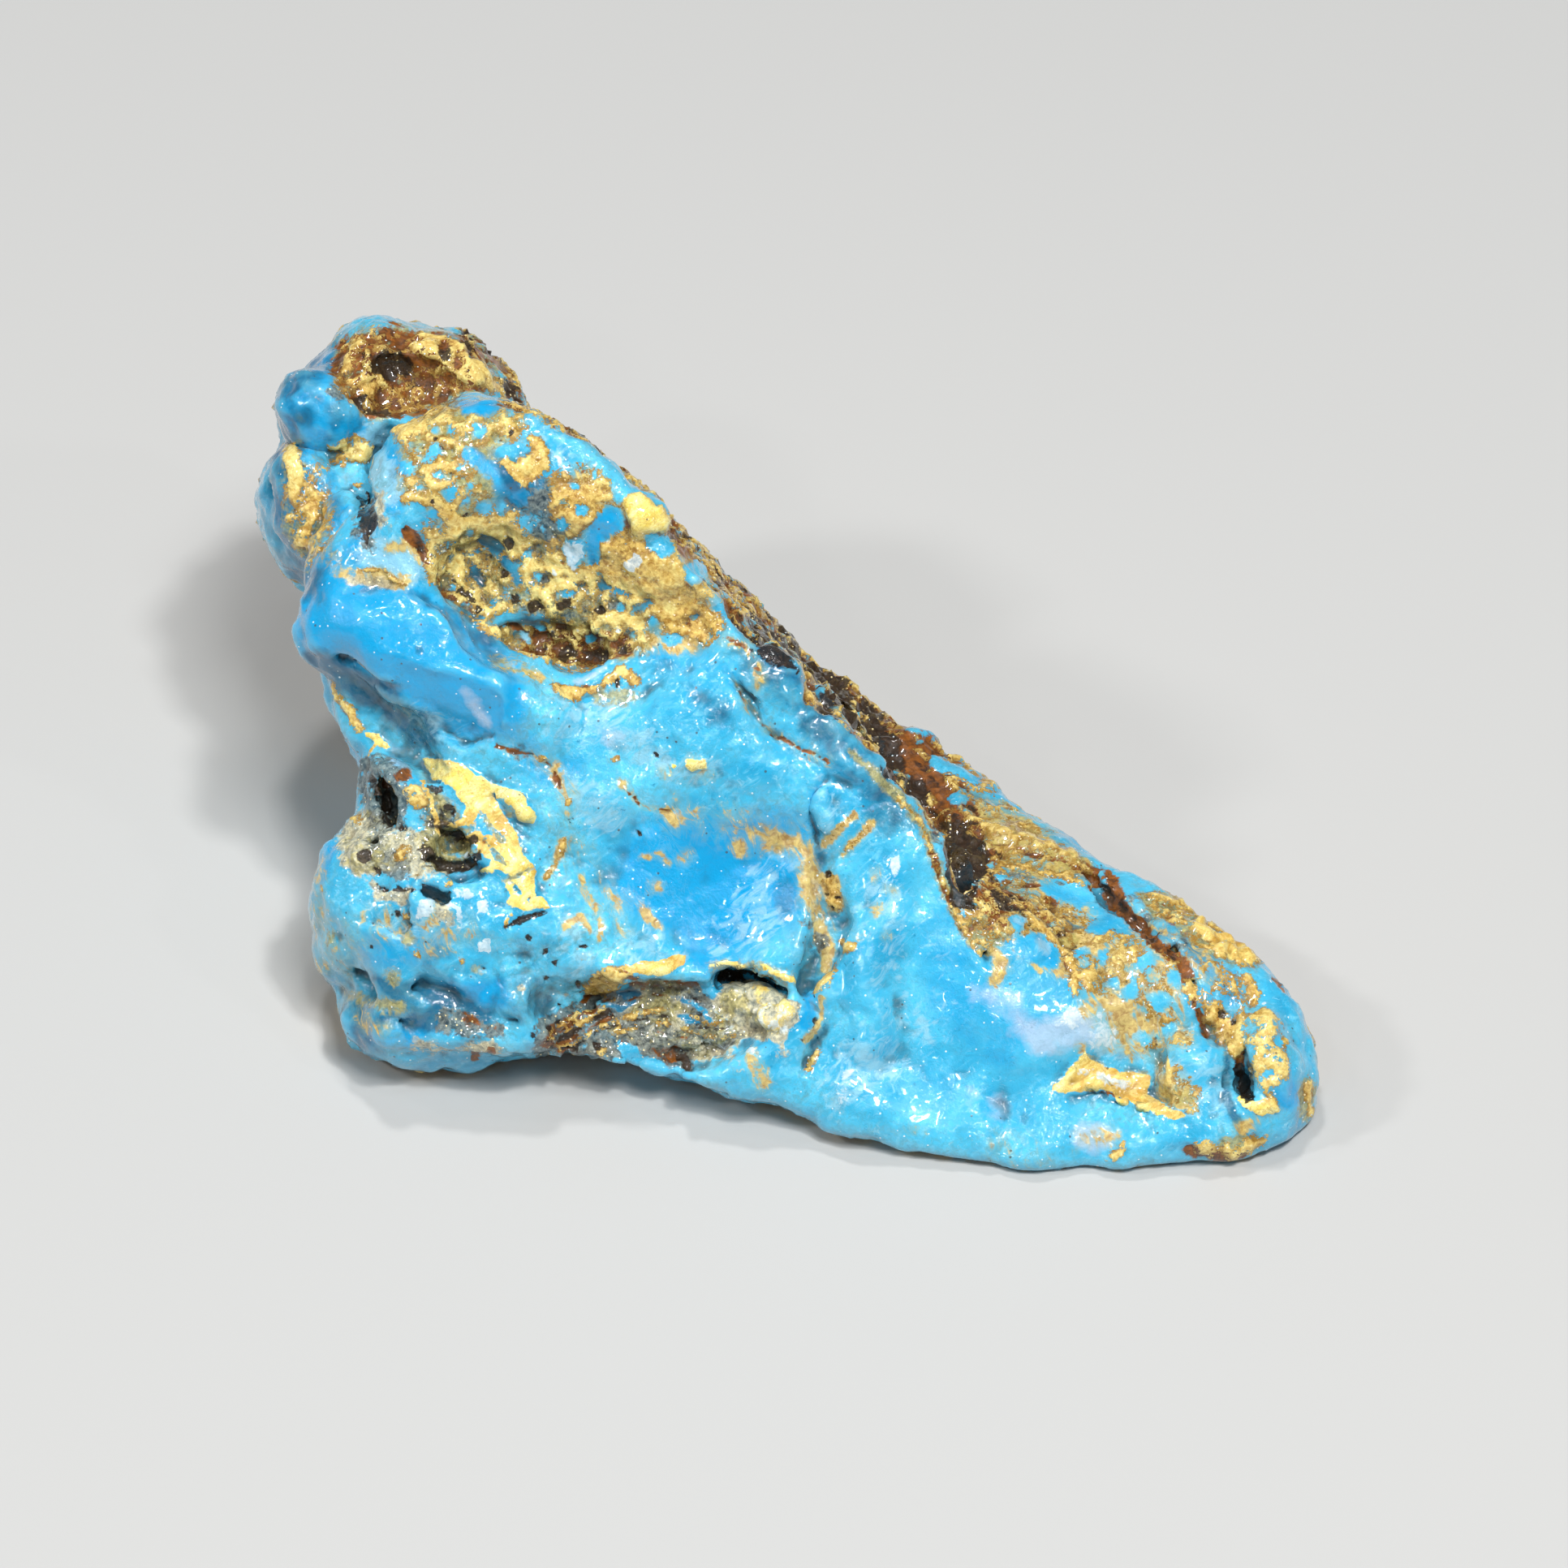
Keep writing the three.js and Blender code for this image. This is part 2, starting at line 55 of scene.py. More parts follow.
def on_face(g):
    """Rows of ground points, in face coordinates."""
    return np.stack([g[:, 0], g[:, 1] * SIN + g[:, 2] * COS, g[:, 2] * SIN - g[:, 1] * COS], 1)


def to_part(u, v, w):
    """Face coordinates in millimetres to the part's own frame in metres."""
    return Vector(((u - CENTRE[0]), (v * SIN - w * COS - CENTRE[1]), v * COS + w * SIN)) / 1000


# ---------------------------------------------------------------- noise
def scramble(i, j, k, seed):
    """A random 32-bit number for each cell of a grid."""
    u32 = np.uint32
    h = i.astype(u32) * u32(374761393)
    h ^= j.astype(u32) * u32(668265263)
    h ^= k.astype(u32) * u32(2147483647)
    h ^= u32(seed * 974634777 & 0xFFFFFFFF)
    h ^= h >> u32(13)
    h *= u32(1274126177)
    h ^= h >> u32(16)
    h *= u32(2246822519)
    h ^= h >> u32(15)
    return h


def thousandths(h, shift):
    """Ten of the bits of each number, as 0 to 1023."""
    return (h >> np.uint32(shift)) & np.uint32(1023)


def noise(p, period, seed):
    """Gradient noise, about -1 to 1. period is one length or three."""
    q = p / np.asarray(period, float)
    low = np.floor(q)
    cell = low.astype(np.int64)
    f = q - low
    s = f * f * f * (f * (f * 6 - 15) + 10)
    out = np.zeros(len(p))
    for a in (0, 1):
        for b in (0, 1):
            for c in (0, 1):
                h = scramble(cell[:, 0] + a, cell[:, 1] + b, cell[:, 2] + c, seed)
                gu, gv, gw = (thousandths(h, shift) / 511.5 - 1 for shift in (0, 10, 20))
                weight = ((s[:, 0] if a else 1 - s[:, 0]) * (s[:, 1] if b else 1 - s[:, 1])
                          * (s[:, 2] if c else 1 - s[:, 2]))
                out += weight * (gu * (f[:, 0] - a) + gv * (f[:, 1] - b) + gw * (f[:, 2] - c))
    return out * 1.3


def fbm(p, period, seed, octaves=3):
    """Noise with finer noise over it."""
    period = np.asarray(period, float)
    return sum(noise(p, period / 2 ** n, seed + 17 * n) / 2 ** n for n in range(octaves))


def web(p, period, seed):
    """0 on the net between cells about one period across, rising towards the middle of each cell."""
    q = p / period
    low = np.floor(q).astype(np.int64)
    first = np.full(len(p), 9.0)
    second = first.copy()
    for n in range(27):
        cell = low + np.array([n % 3 - 1, n // 3 % 3 - 1, n // 9 - 1])
        h = scramble(cell[:, 0], cell[:, 1], cell[:, 2], seed)
        middle = cell + 0.1 + 0.8 * np.stack([thousandths(h, shift) for shift in (0, 10, 20)], 1) / 1023
        gap = np.linalg.norm(q - middle, axis=1)
        second = np.minimum(second, np.maximum(first, gap))
        first = np.minimum(first, gap)
    return second - first


def rise(low, high, x):
    """From 0 at low to 1 at high, smoothly. low may be the larger."""
    t = np.clip((x - low) / (high - low), 0, 1)
    return t * t * (3 - 2 * t)


# ---------------------------------------------------------------- distances
def plane(p, at, normal):
    n = np.array(normal, float)
    return (p - np.array(at, float)) @ (n / np.linalg.norm(n))


def oval(p, at, size, turn):
    """About the distance to an ellipsoid with its radii in size, turned in the plane of the face."""
    q = p - np.array(at, float)
    a = math.radians(turn)
    q = np.stack([q[:, 0] * math.cos(a) + q[:, 1] * math.sin(a),
                  q[:, 1] * math.cos(a) - q[:, 0] * math.sin(a), q[:, 2]], 1)
    size = np.array(size, float)
    k0 = np.linalg.norm(q / size, axis=1)
    k1 = np.linalg.norm(q / size ** 2, axis=1)
    return k0 * (k0 - 1) / np.maximum(k1, 1e-9)


def along_line(q, start, d):
    """The distance of each row of q from a line that runs from start by d, and how far along it is."""
    t = np.clip(((q - start) @ d) / max(d @ d, 1e-9), 0, 1)
    return np.linalg.norm(q - start - t[:, None] * d, axis=1), t


def bar(p, points):
    """The distance to a bent round bar. Each point is followed by its radius."""
    least = np.full(len(p), np.inf)
    for a, b in zip(points[:-1], points[1:]):
        start, end = np.array(a[:3], float), np.array(b[:3], float)
        gap, t = along_line(p, start, end - start)
        least = np.minimum(least, gap - a[3] - (b[3] - a[3]) * t)
    return least


def join(a, b, blend):
    h = np.clip(0.5 + 0.5 * (b - a) / blend, 0, 1)
    return b + (a - b) * h - blend * h * (1 - h)


def trim(a, b, blend):
    return -join(-a, -b, blend)


# ---------------------------------------------------------------- the stone's form
SLOPE_AT, SLOPE_WAY = (-4.7, 33.0, 0), (0.747, 0.665, 0.08)   # the slope behind the falling crest
TROUGH = ((5.6, 21.6, -8.0), (2.2, 6.0, 4.0), 42)             # centre, radii and turn of the trough in it
WEDGE = [  # what the plane is, a point on it, its outward normal, blend
    ("front", (0, 0, 0.2), (0, 0, 1), 0),
    ("slope behind the crest", SLOPE_AT, SLOPE_WAY, 1.0),
    ("top", (-17, 42.2, -3), (-0.15, 0.80, -0.10), 4),
    ("left end", (-23.6, 25, -4), (-1, 0, 0), 2.5),
    ("back", ground(-14, 38, 12), ground(-0.10, 1, 0), 5),
    ("underside", (-10, 6.3, -2), (0, -1, 0.1), 1.0),
]
SLAB = [
    ("top", ground(10.6, 8, 9.4), ground(0.146, 0.171, 0.974), 0),
    ("front", (0, 0, 0.5), (0.05, -0.02, 1), 2.5),
    ("far side", ground(15.6, 22.4, 6), ground(0.683, 0.730, -0.12), 2.5),
    ("nose end", (29.9, 4.5, 0), (1, 0.05, 0), 3),
    ("toe", (1.5, 2.2, 0), (-0.30, -0.95, 0), 1.5),
    ("back", ground(-18, 40, 4), ground(-0.55, 0.83, 0), 3),
    ("left end", (-16, 0, 0), (-1, 0, 0), 3),
]
LUMPS = [  # name, centre, radii, turn, blend
    ("shoulder", (-17.6, 36.8, -6.2), (6.2, 6.8, 6.9), 0, 2.0),
    ("shoulder brow", (-17.8, 41.0, -2.6), (3.4, 1.8, 2.0), 12, 0.8),
    ("upper back lobe", (-22.5, 42.3, -15.5), (6.9, 6.3, 7.5), 0, 1.6),
    ("lower back lobe", (-24.6, 37.5, -14.5), (6.3, 5.4, 6.8), 0, 1.2),
    ("lobe bump", (-26.8, 43.2, -10.0), (2.9, 2.4, 2.8), -20, 0.6),
    ("lobe cheek", (-27.8, 37.8, -9.4), (2.4, 3.2, 2.4), 8, 0.7),
    ("crevice lump", (-25.4, 35.6, -7.2), (1.9, 2.4, 2.2), 0, 0.6),
    ("back column", (-18.2, 30.5, -14.5), (6.0, 10.0, 8.0), 0, 3.0),
    ("dark hummock", (2.6, 24.2, -9.0), (2.2, 3.0, 2.8), 40, 1.0),
    ("left lobe", (-19.4, 14.0, -5.6), (7.8, 6.8, 7.2), 0, 1.5),
    ("left foot", (-20.2, 8.2, -5.2), (5.3, 3.3, 5.0), 0, 0.7),
    ("lobe swell", (-23.2, 15.6, -3.2), (3.4, 3.2, 3.4), 0, 0.8),
    ("nose tip", (26.9, 4.3, -2.4), (3.1, 4.3, 4.4), 0, 1.0),
    ("nose bulb", (23.3, 4.6, -0.9), (2.3, 3.1, 2.4), 10, 0.5),
    ("lens chip", (2.3, 19.6, 0.5), (0.6, 2.0, 0.55), -6, 0.2),
    ("crest fold", (-1.6, 26.6, -0.6), (2.4, 3.2, 1.5), -38, 0.6),
    ("upper fold", (-5.0, 25.2, -0.3), (3.6, 2.0, 1.2), -30, 0.8),
    ("dark lump", (2.8, 24.6, -4.4), (1.3, 2.2, 1.6), 30, 0.4),
    ("pit boss", (-11.6, 31.4, -2.0), (1.6, 1.1, 1.2), 10, 0.3),
    ("nodule", (-8.0, 36.3, -0.3), (1.2, 1.2, 1.0), 0, 0.3),
    ("upper nodule", (-15.1, 39.6, -0.9), (1.3, 1.2, 0.9), 0, 0.3),
    ("middle swell", (-5.0, 22.6, -1.6), (6.0, 3.0, 2.4), -18, 1.2),
    ("under the wedge", (17.4, 2.8, -1.5), (4.4, 1.7, 2.0), -12, 1.2),
    ("right swell", (11.5, 8.5, -3.4), (8.0, 6.0, 4.2), -28, 1.5),
]
BARS = [  # name, blend, points with their radii
    ("back buttress", 3.0, ground(-22.0, 38.0, 15.0, 6.2), ground(-18.5, 36.5, 8.0, 7.0),
     ground(-15.5, 34.0, 3.0, 8.0)),
    ("far swell", 1.5, ground(0.2, 33.4, 4.9, 2.6), ground(6.2, 27.6, 4.9, 2.6),
     ground(13.4, 20.0, 4.0, 2.3)),
    ("far ridge", 1.2, ground(13.2, 19.9, 4.9, 2.1), ground(19.3, 15.2, 4.7, 2.1),
     ground(25.2, 10.6, 4.0, 1.9)),
    ("rib", 0.7, (-25.0, 30.4, -2.6, 3.0), (-21.2, 29.0, -0.6, 3.0), (-17.0, 27.2, -0.3, 2.7),
     (-13.6, 25.2, -0.7, 1.9)),
    ("pale edge", 1.0, (-21.2, 36.6, -3.0, 2.2), (-25.0, 32.7, -3.6, 2.6)),
    ("left flank", 1.2, (-24.0, 27.6, -5.0, 2.7), (-22.6, 23.0, -5.0, 2.2), (-22.4, 19.0, -4.0, 2.2)),
    ("flake", 0.5, (-19.8, 22.3, -0.8, 0.5), (-18.2, 20.8, -0.8, 0.9), (-16.0, 17.4, -0.8, 1.1),
     (-14.6, 15.2, -0.6, 0.6)),
    ("flake lip", 0.15, (-17.2, 21.4, 0.2, 0.25), (-16.2, 20.6, 0.3, 0.28), (-14.8, 19.8, 0.3, 0.25)),
    ("flake strand", 0.15, (-20.6, 21.4, 0.0, 0.22), (-19.9, 19.9, 0.2, 0.24), (-19.6, 18.4, 0.3, 0.22)),
    ("left ledge", 0.3, (-11.8, 9.8, -0.9, 0.7), (-10.2, 10.7, -0.3, 0.7), (-7.4, 10.7, -0.2, 0.6),
     (-5.8, 11.6, 0.0, 0.6)),
    ("arch lip", 0.2, (-4.2, 10.9, -0.4, 0.3), (-2.2, 11.4, -0.1, 0.35), (0.4, 10.4, 0.0, 0.25)),
    ("wedge ridge", 0.2, (15.2, 3.9, 0.3, 0.2), (17.6, 4.2, 0.5, 0.22), (19.8, 3.5, 0.5, 0.22),
     (22.4, 2.5, 0.3, 0.2)),
    ("right shoulder", 1.2, (7.6, 17.6, -0.5, 1.2), (4.6, 12.0, 0.1, 1.3), (4.4, 7.0, 0.0, 1.2)),
    ("crest lip", 0.7, (2.6, 24.2, -0.9, 0.9), (6.6, 20.4, -0.8, 1.0), (8.6, 17.2, -0.6, 0.9),
     (9.4, 13.6, -0.5, 0.8)),
    ("toe", 2.4, (3.4, 3.5, -0.8, 1.1), (9.0, 2.2, -0.6, 1.2), (13.6, 0.3, 0.1, 1.4), (18.2, 0.5, 0.0, 1.4),
     (25.2, 0.9, -0.1, 1.3)),
]
HOLLOWS = [  # name, centre, radii, turn, blend
    ("pit", (-12.6, 31.4, 2.4), (9.6, 5.0, 4.9), -24, 1.6),
    ("pit floor", (-13.2, 29.4, -2.2), (3.4, 1.5, 1.7), -12, 0.4),
    ("pit nook", (-17.8, 33.6, -1.2), (1.6, 2.0, 1.5), -30, 0.7),
    ("pit end", (-6.4, 30.2, 0.6), (2.6, 3.2, 1.8), -50, 0.5),
    ("under the rib", (-23.4, 24.6, 1.0), (5.2, 2.3, 3.9), -34, 0.5),
    ("basin", (-3.6, 15.6, 6.8), (11.0, 9.4, 8.0), 20, 1.0),
    ("left of the basin", (-10.4, 17.0, 3.6), (4.4, 4.6, 4.3), 0, 0.9),
    ("layered hollow", (-7.8, 7.8, 1.3), (7.0, 2.9, 3.9), -4, 0.5),
    ("arch", (-2.2, 9.8, -0.6), (2.2, 1.3, 3.0), -6, 0.3),
    ("crest hole", (10.1, 17.1, -3.2), (1.1, 1.1, 3.6), 0, 0.25),
    ("crest hole foot", (9.9, 15.7, -2.8), (0.7, 1.6, 3.2), 0, 0.25),
    ("dark trough", *TROUGH, 0.8),
    ("nose pit", (25.9, 4.5, 0.6), (0.65, 1.1, 2.2), 8, 0.2),
    ("nose cleft", (25.6, 6.0, 0.9), (0.35, 1.1, 1.2), -10, 0.2),
    ("nose pock", (25.2, 8.0, 0.6), (0.7, 0.6, 0.9), 0, 0.2),
    ("saddle", (-22.9, 38.2, -6.4), (1.5, 4.4, 4.0), 0, 0.5),
    ("crevice cavity", (-23.9, 39.0, -5.6), (1.1, 1.2, 2.4), 0, 0.3),
    ("lobe hollow", (-21.2, 44.8, -8.0), (3.8, 2.2, 3.0), -4, 0.5),
    ("upper cavity", (-18.9, 18.2, 0.2), (1.3, 0.9, 1.3), -20, 0.2),
    ("lower cavity", (-18.6, 16.6, 0.4), (1.7, 0.7, 1.2), 0, 0.2),
    ("flank cavity", (-22.8, 20.4, -1.6), (0.8, 1.9, 1.4), 12, 0.2),
    ("round cavity", (-23.9, 17.3, -1.0), (0.45, 0.45, 0.8), 0, 0.15),
    ("small cavity", (-20.0, 15.0, 0.9), (0.9, 0.5, 1.0), -20, 0.15),
]
LEDGES = [("arch infill", 0.3, (-3.2, 9.3, -1.9, 0.9), (-1.6, 9.1, -1.6, 1.1), (0.0, 8.7, -1.2, 1.0))]
for n in range(6):   # the layers sweep up from the left and down again to the right
    drop = 0.62 * n
    LEDGES.append((f"layer {n}", 0.15,
                   (-13.4, 7.6 - 0.5 * drop, -1.4, 0.25), (-11.2, 8.6 - 0.8 * drop, -1.3, 0.3),
                   (-9.0, 9.5 - drop, -1.7, 0.35), (-6.8, 9.6 - drop, -2.0 + 0.1 * n, 0.35),
                   (-4.4, 9.0 - drop, -1.9 + 0.1 * n, 0.3), (-2.4, 8.2 - 0.8 * drop, -1.6, 0.25)))
FACETS = [  # name, a point on the flat, its normal, and the centre, radii and turn of the region it cuts
    ("rib top", (-21.2, 28.4, 2.0), (0.10, 0.36, 0.93), (-21.6, 29.0, 1.5), (6.6, 3.6, 3.4), -27),
    ("rib side", (-21.2, 28.3, 2.0), (-0.20, -0.58, 0.78), (-21.6, 27.4, 1.2), (6.4, 3.0, 3.4), -27),
    ("flank flat", (-22.9, 15.6, 0.3), (-0.30, 0.05, 0.95), (-22.9, 15.6, 0.4), (2.6, 2.6, 1.8), 0),
]
CREASES = [  # name, blend, points with their radii
    ("long crease", 0.4, (2.7, 22.4, 0.4, 0.3), (1.6, 20.6, 0.2, 0.5), (1.5, 19.0, 0.0, 0.7),
     (2.0, 16.6, 0.0, 0.9), (2.7, 13.6, 0.0, 0.9), (1.9, 11.6, 0.0, 0.7), (1.2, 9.8, 0.0, 0.5)),
    ("crest crease", 0.3, (-3.6, 27.4, 0.4, 0.3), (-2.3, 26.0, 0.5, 0.45), (-1.2, 24.6, 0.5, 0.5),
     (0.5, 23.5, 0.4, 0.45), (2.4, 22.6, 0.4, 0.3)),
    ("foot crease", 0.8, (-24.2, 10.4, -2.6, 0.3), (-22.4, 9.4, -0.8, 0.4), (-20.6, 9.9, 0.1, 0.4),
     (-18.6, 9.2, 0.7, 0.4), (-17.0, 8.0, 0.7, 0.4), (-15.2, 7.4, 0.4, 0.3)),
    ("lower foot crease", 0.6, (-22.0, 7.6, -0.4, 0.3), (-20.2, 7.7, 0.5, 0.4), (-18.4, 7.1, 0.7, 0.3)),
    ("slab groove", 0.3, (17.4, 15.9, -7.6, 0.5), (20.2, 13.1, -4.0, 0.6), (22.3, 11.2, -2.2, 0.5),
     (23.2, 8.8, 0.4, 0.45), (24.4, 6.9, 0.6, 0.4)),
    ("foot of the crest", 0.4, (10.0, 15.8, -2.4, 0.9), (10.6, 13.4, -0.8, 0.7), (11.6, 11.6, 0.4, 0.5)),
    ("bulb crease", 0.3, (25.0, 6.8, 0.8, 0.3), (25.2, 5.0, 0.6, 0.4), (25.0, 3.2, 0.3, 0.35),
     (25.6, 2.1, 0.2, 0.3), (26.0, 1.1, 0.0, 0.3)),
    ("hollow seam", 0.3, (0.8, 10.2, 0.4, 0.3), (1.8, 7.8, 0.6, 0.35), (1.0, 5.6, 0.4, 0.3)),
    ("rib crease", 0.4, (-25.4, 28.4, -0.9, 0.4), (-21.6, 26.4, 0.9, 0.5), (-18.0, 24.6, 1.0, 0.4)),
]
BODY_BLEND, FACET_BLEND = 1.0, 0.15
GROUND_BLEND = 1.2                  # how softly the underside turns into the flat base
SWAY, SWAY_PERIOD = 0.8, 5.2        # how far lumps and hollows wander from true ovals, and over what length
SWAY_OUT = 0.5                      # the same, out of the face
QUIVER, QUIVER_PERIOD = 0.35, 2.1
WAVES = ((0.50, 6.0, 1), (0.32, 2.6, 2), (0.12, 1.2, 3))   # height, period and seed, all over the stone


def cut_by_planes(p, planes):
    _, at, normal, _ = planes[0]
    f = plane(p, at, normal)
    for _, at, normal, blend in planes[1:]:
        f = trim(f, plane(p, at, normal), blend)
    return f


def stray(p):
    """Moves the points a little, so that no lump or hollow is a true oval."""
    return np.stack([p[:, 0] + SWAY * noise(p, SWAY_PERIOD, 11) + QUIVER * noise(p, QUIVER_PERIOD, 14),
                     p[:, 1] + SWAY * noise(p, SWAY_PERIOD, 12) + QUIVER * noise(p, QUIVER_PERIOD, 15),
                     p[:, 2] + SWAY_OUT * noise(p, SWAY_PERIOD, 13)], 1)


def stone_field(p):
    """Below zero inside the stone, and about the distance to its surface outside it."""
    q = stray(p)
    f = join(cut_by_planes(p, WEDGE), cut_by_planes(p, SLAB), BODY_BLEND)
    for _, at, size, turn, blend in LUMPS:
        f = join(f, oval(q, at, size, turn), blend)
    for _, blend, *points in BARS:
        f = join(f, bar(q, points), blend)
    for _, at, size, turn, blend in HOLLOWS:
        f = trim(f, -oval(q, at, size, turn), blend)
    for _, blend, *points in LEDGES:
        f = join(f, bar(q, points), blend)
    for _, at, normal, middle, size, turn in FACETS:
        f = trim(f, np.minimum(plane(q, at, normal), -oval(q, middle, size, turn)), FACET_BLEND)
    for _, blend, *points in CREASES:
        f = trim(f, -bar(q, points), blend)
    for height, period, seed in WAVES:
        f = f - height * noise(p, period, seed)
    return f


def field_at(g):
    """g holds points on the ground axes, in millimetres, before recentring."""
    return trim(stone_field(on_face(g)), -g[:, 2], GROUND_BLEND)


# ---------------------------------------------------------------- the surface
def sampled(low, high, step, coarse=4):
    """The field on a grid: everywhere coarsely, and finely near the surface."""
    low, high = np.array(low, float), np.array(high, float)
    wide = step * coarse
    count = np.ceil((high - low) / wide).astype(int) + 1
    axes = [low[k] + wide * np.arange(count[k]) for k in range(3)]
    points = np.stack(np.meshgrid(*axes, indexing="ij"), -1).reshape(-1, 3)
    out = field_at(points).reshape(count)
    fine = (count - 1) * coarse + 1
    for k in range(3):
        t = np.arange(fine[k]) / coarse
        i = np.minimum(t.astype(int), count[k] - 2)
        shape = [1, 1, 1]
        shape[k] = fine[k]
        w = (t - i).reshape(shape)
        out = np.take(out, i, k) * (1 - w) + np.take(out, i + 1, k) * w
    near = np.abs(out) < wide * 1.2
    points = np.argwhere(near) * step + low
    values = np.concatenate([field_at(points[s:s + 150000]) for s in range(0, len(points), 150000)])
    out[near] = values
    return out


def corners(v):
    cut = [slice(0, -1), slice(1, None)]
    return [v[cut[b & 1], cut[b >> 1 & 1], cut[b >> 2 & 1]] for b in range(8)]


def one_sheet():
    """Which of the 256 corner patterns of a cell hold one sheet of surface."""
    def linked(code, side):
        members = [c for c in range(8) if (code >> c & 1) == side]
        seen, todo = set(members[:1]), members[:1]
        while todo:
            c = todo.pop()
            for bit in (1, 2, 4):
                if c ^ bit in members and c ^ bit not in seen:
                    seen.add(c ^ bit)
                    todo.append(c ^ bit)
        return len(seen) == len(members)
    return np.array([linked(c, 1) and linked(c, 0) for c in range(256)])


def mend(v, tiny):
    """Fills the thinnest gap in each cell that holds two sheets of surface."""
    good = one_sheet()
    for _ in range(20):
        code = sum((c < 0).astype(np.uint8) << b for b, c in enumerate(corners(v)))
        bad = np.argwhere(~good[code])
        if not len(bad):
            break
        for i, j, k in bad:
            cell = v[i:i + 2, j:j + 2, k:k + 2]
            gap = np.where(cell >= 0, cell, np.inf)
            a = np.unravel_index(np.argmin(gap), gap.shape)
            v[i + a[0], j + a[1], k + a[2]] = -tiny
    return v


def surface(v, low, step):
    """One vertex in each cell that the surface crosses, and a quad round each crossed edge."""
    cs = corners(v)
    inside = sum((c < 0).astype(np.int8) for c in cs)
    active = (inside > 0) & (inside < 8)
    cells = np.argwhere(active)
    index = -np.ones(active.shape, np.int64)
    index[active] = np.arange(len(cells))
    values = np.stack([c[active] for c in cs], 1)
    offset = np.array([[b & 1, b >> 1 & 1, b >> 2 & 1] for b in range(8)], float)
    total, number = np.zeros((len(cells), 3)), np.zeros(len(cells))
    for a in range(8):
        for bit in (1, 2, 4):
            if a & bit:
                continue
            va, vb = values[:, a], values[:, a | bit]
            cross = (va < 0) != (vb < 0)
            t = np.where(cross, va / np.where(cross, va - vb, 1), 0)
            point = offset[a] + t[:, None] * (offset[a | bit] - offset[a])
            total += np.where(cross[:, None], point, 0)
            number += cross
    verts = (cells + total / number[:, None]) * step + np.array(low)
    verts[cells[:, 2] == 0, 2] = 0   # the lowest layer of cells straddles the ground
    quads = []
    for axis in range(3):
        side, up = (axis + 1) % 3, (axis + 2) % 3
        cut = [slice(1, n - 1) for n in v.shape]
        cut[axis] = slice(0, v.shape[axis] - 1)
        a = v[tuple(cut)] < 0
        cut[axis] = slice(1, v.shape[axis])
        b = v[tuple(cut)] < 0
        for flip, hit in ((False, a & ~b), (True, ~a & b)):
            base = np.argwhere(hit) + np.array([0 if k == axis else 1 for k in range(3)])

            def cell(back_side, back_up):
                c = base.copy()
                c[:, side] -= back_side
                c[:, up] -= back_up
                return index[c[:, 0], c[:, 1], c[:, 2]]

            ring = np.stack([cell(0, 0), cell(1, 0), cell(1, 1), cell(0, 1)], 1)
            quads.append(ring[:, ::-1] if flip else ring)
    return verts, np.concatenate(quads)


LOW = (-33.0, -4.0, -GRID / 2)
HIGH = (33.0, 51.0, 33.5)
values = mend(sampled(LOW, HIGH, GRID), 0.02 * GRID)
verts, quads = surface(values, LOW, GRID)


def mesh_from(name, points, faces):
    mesh = bpy.data.meshes.new(name)
    corners_each = faces.shape[1]
    mesh.vertices.add(len(points))
    mesh.vertices.foreach_set("co", points.astype(np.float32).ravel())
    mesh.loops.add(faces.size)
    mesh.loops.foreach_set("vertex_index", faces.astype(np.int32).ravel())
    mesh.polygons.add(len(faces))
    mesh.polygons.foreach_set("loop_start", np.arange(0, faces.size, corners_each, dtype=np.int32))
    mesh.polygons.foreach_set("use_smooth", np.ones(len(faces), bool))
    mesh.update(calc_edges=True)
    return mesh


def vertex_normals(points, faces):
    out = np.zeros_like(points)
    n = np.cross(points[faces[:, 1]] - points[faces[:, 0]], points[faces[:, 2]] - points[faces[:, 0]])
    for k in range(3):
        for axis in range(3):
            out[:, axis] += np.bincount(faces[:, k], n[:, axis], len(points))
    return out / np.maximum(np.linalg.norm(out, axis=1), 1e-9)[:, None]


THIN_BASE, THIN_BEHIND = 1.0, 0.02   # how readily triangles are taken away, against 0 on the front


def thinned(points, faces):
    """The same surface in MOST_TRIANGLES, few on the flat base and fewer on the sides turned away."""
    triangles = np.concatenate([faces[:, [0, 1, 2]], faces[:, [0, 2, 3]]])
    n = vertex_normals(points, triangles)
    turned_away = on_face(n)[:, 2] < -0.15
    flat = (points[:, 2] < 1e-6) & (n[:, 2] < -0.99)
    weight = np.where(flat, THIN_BASE, np.where(turned_away, THIN_BEHIND, 0.0))
    rough = bpy.data.objects.new("rough", mesh_from("rough", points, triangles))
    bpy.context.scene.collection.objects.link(rough)
    group = rough.vertex_groups.new(name="thin")
    for value in (0.0, THIN_BEHIND, THIN_BASE):
        group.add(np.flatnonzero(weight == value).tolist(), value, "REPLACE")
    tool = rough.modifiers.new("thin", "DECIMATE")
    tool.ratio = MOST_TRIANGLES / len(triangles)
    tool.vertex_group = "thin"
    tool.vertex_group_factor = 1000
    result = rough.evaluated_get(bpy.context.evaluated_depsgraph_get()).to_mesh()
    co = np.zeros(len(result.vertices) * 3)
    result.vertices.foreach_get("co", co)
    result.calc_loop_triangles()
    out = np.zeros(len(result.loop_triangles) * 3, np.int32)
    result.loop_triangles.foreach_get("vertices", out)
    rough_mesh = rough.data
    bpy.data.objects.remove(rough)
    bpy.data.meshes.remove(rough_mesh)
    return co.reshape(-1, 3), out.reshape(-1, 3)


verts, triangles = thinned(verts, quads)
verts[verts[:, 2] < 1e-4, 2] = 0
face = on_face(verts)
normals = vertex_normals(face, triangles)


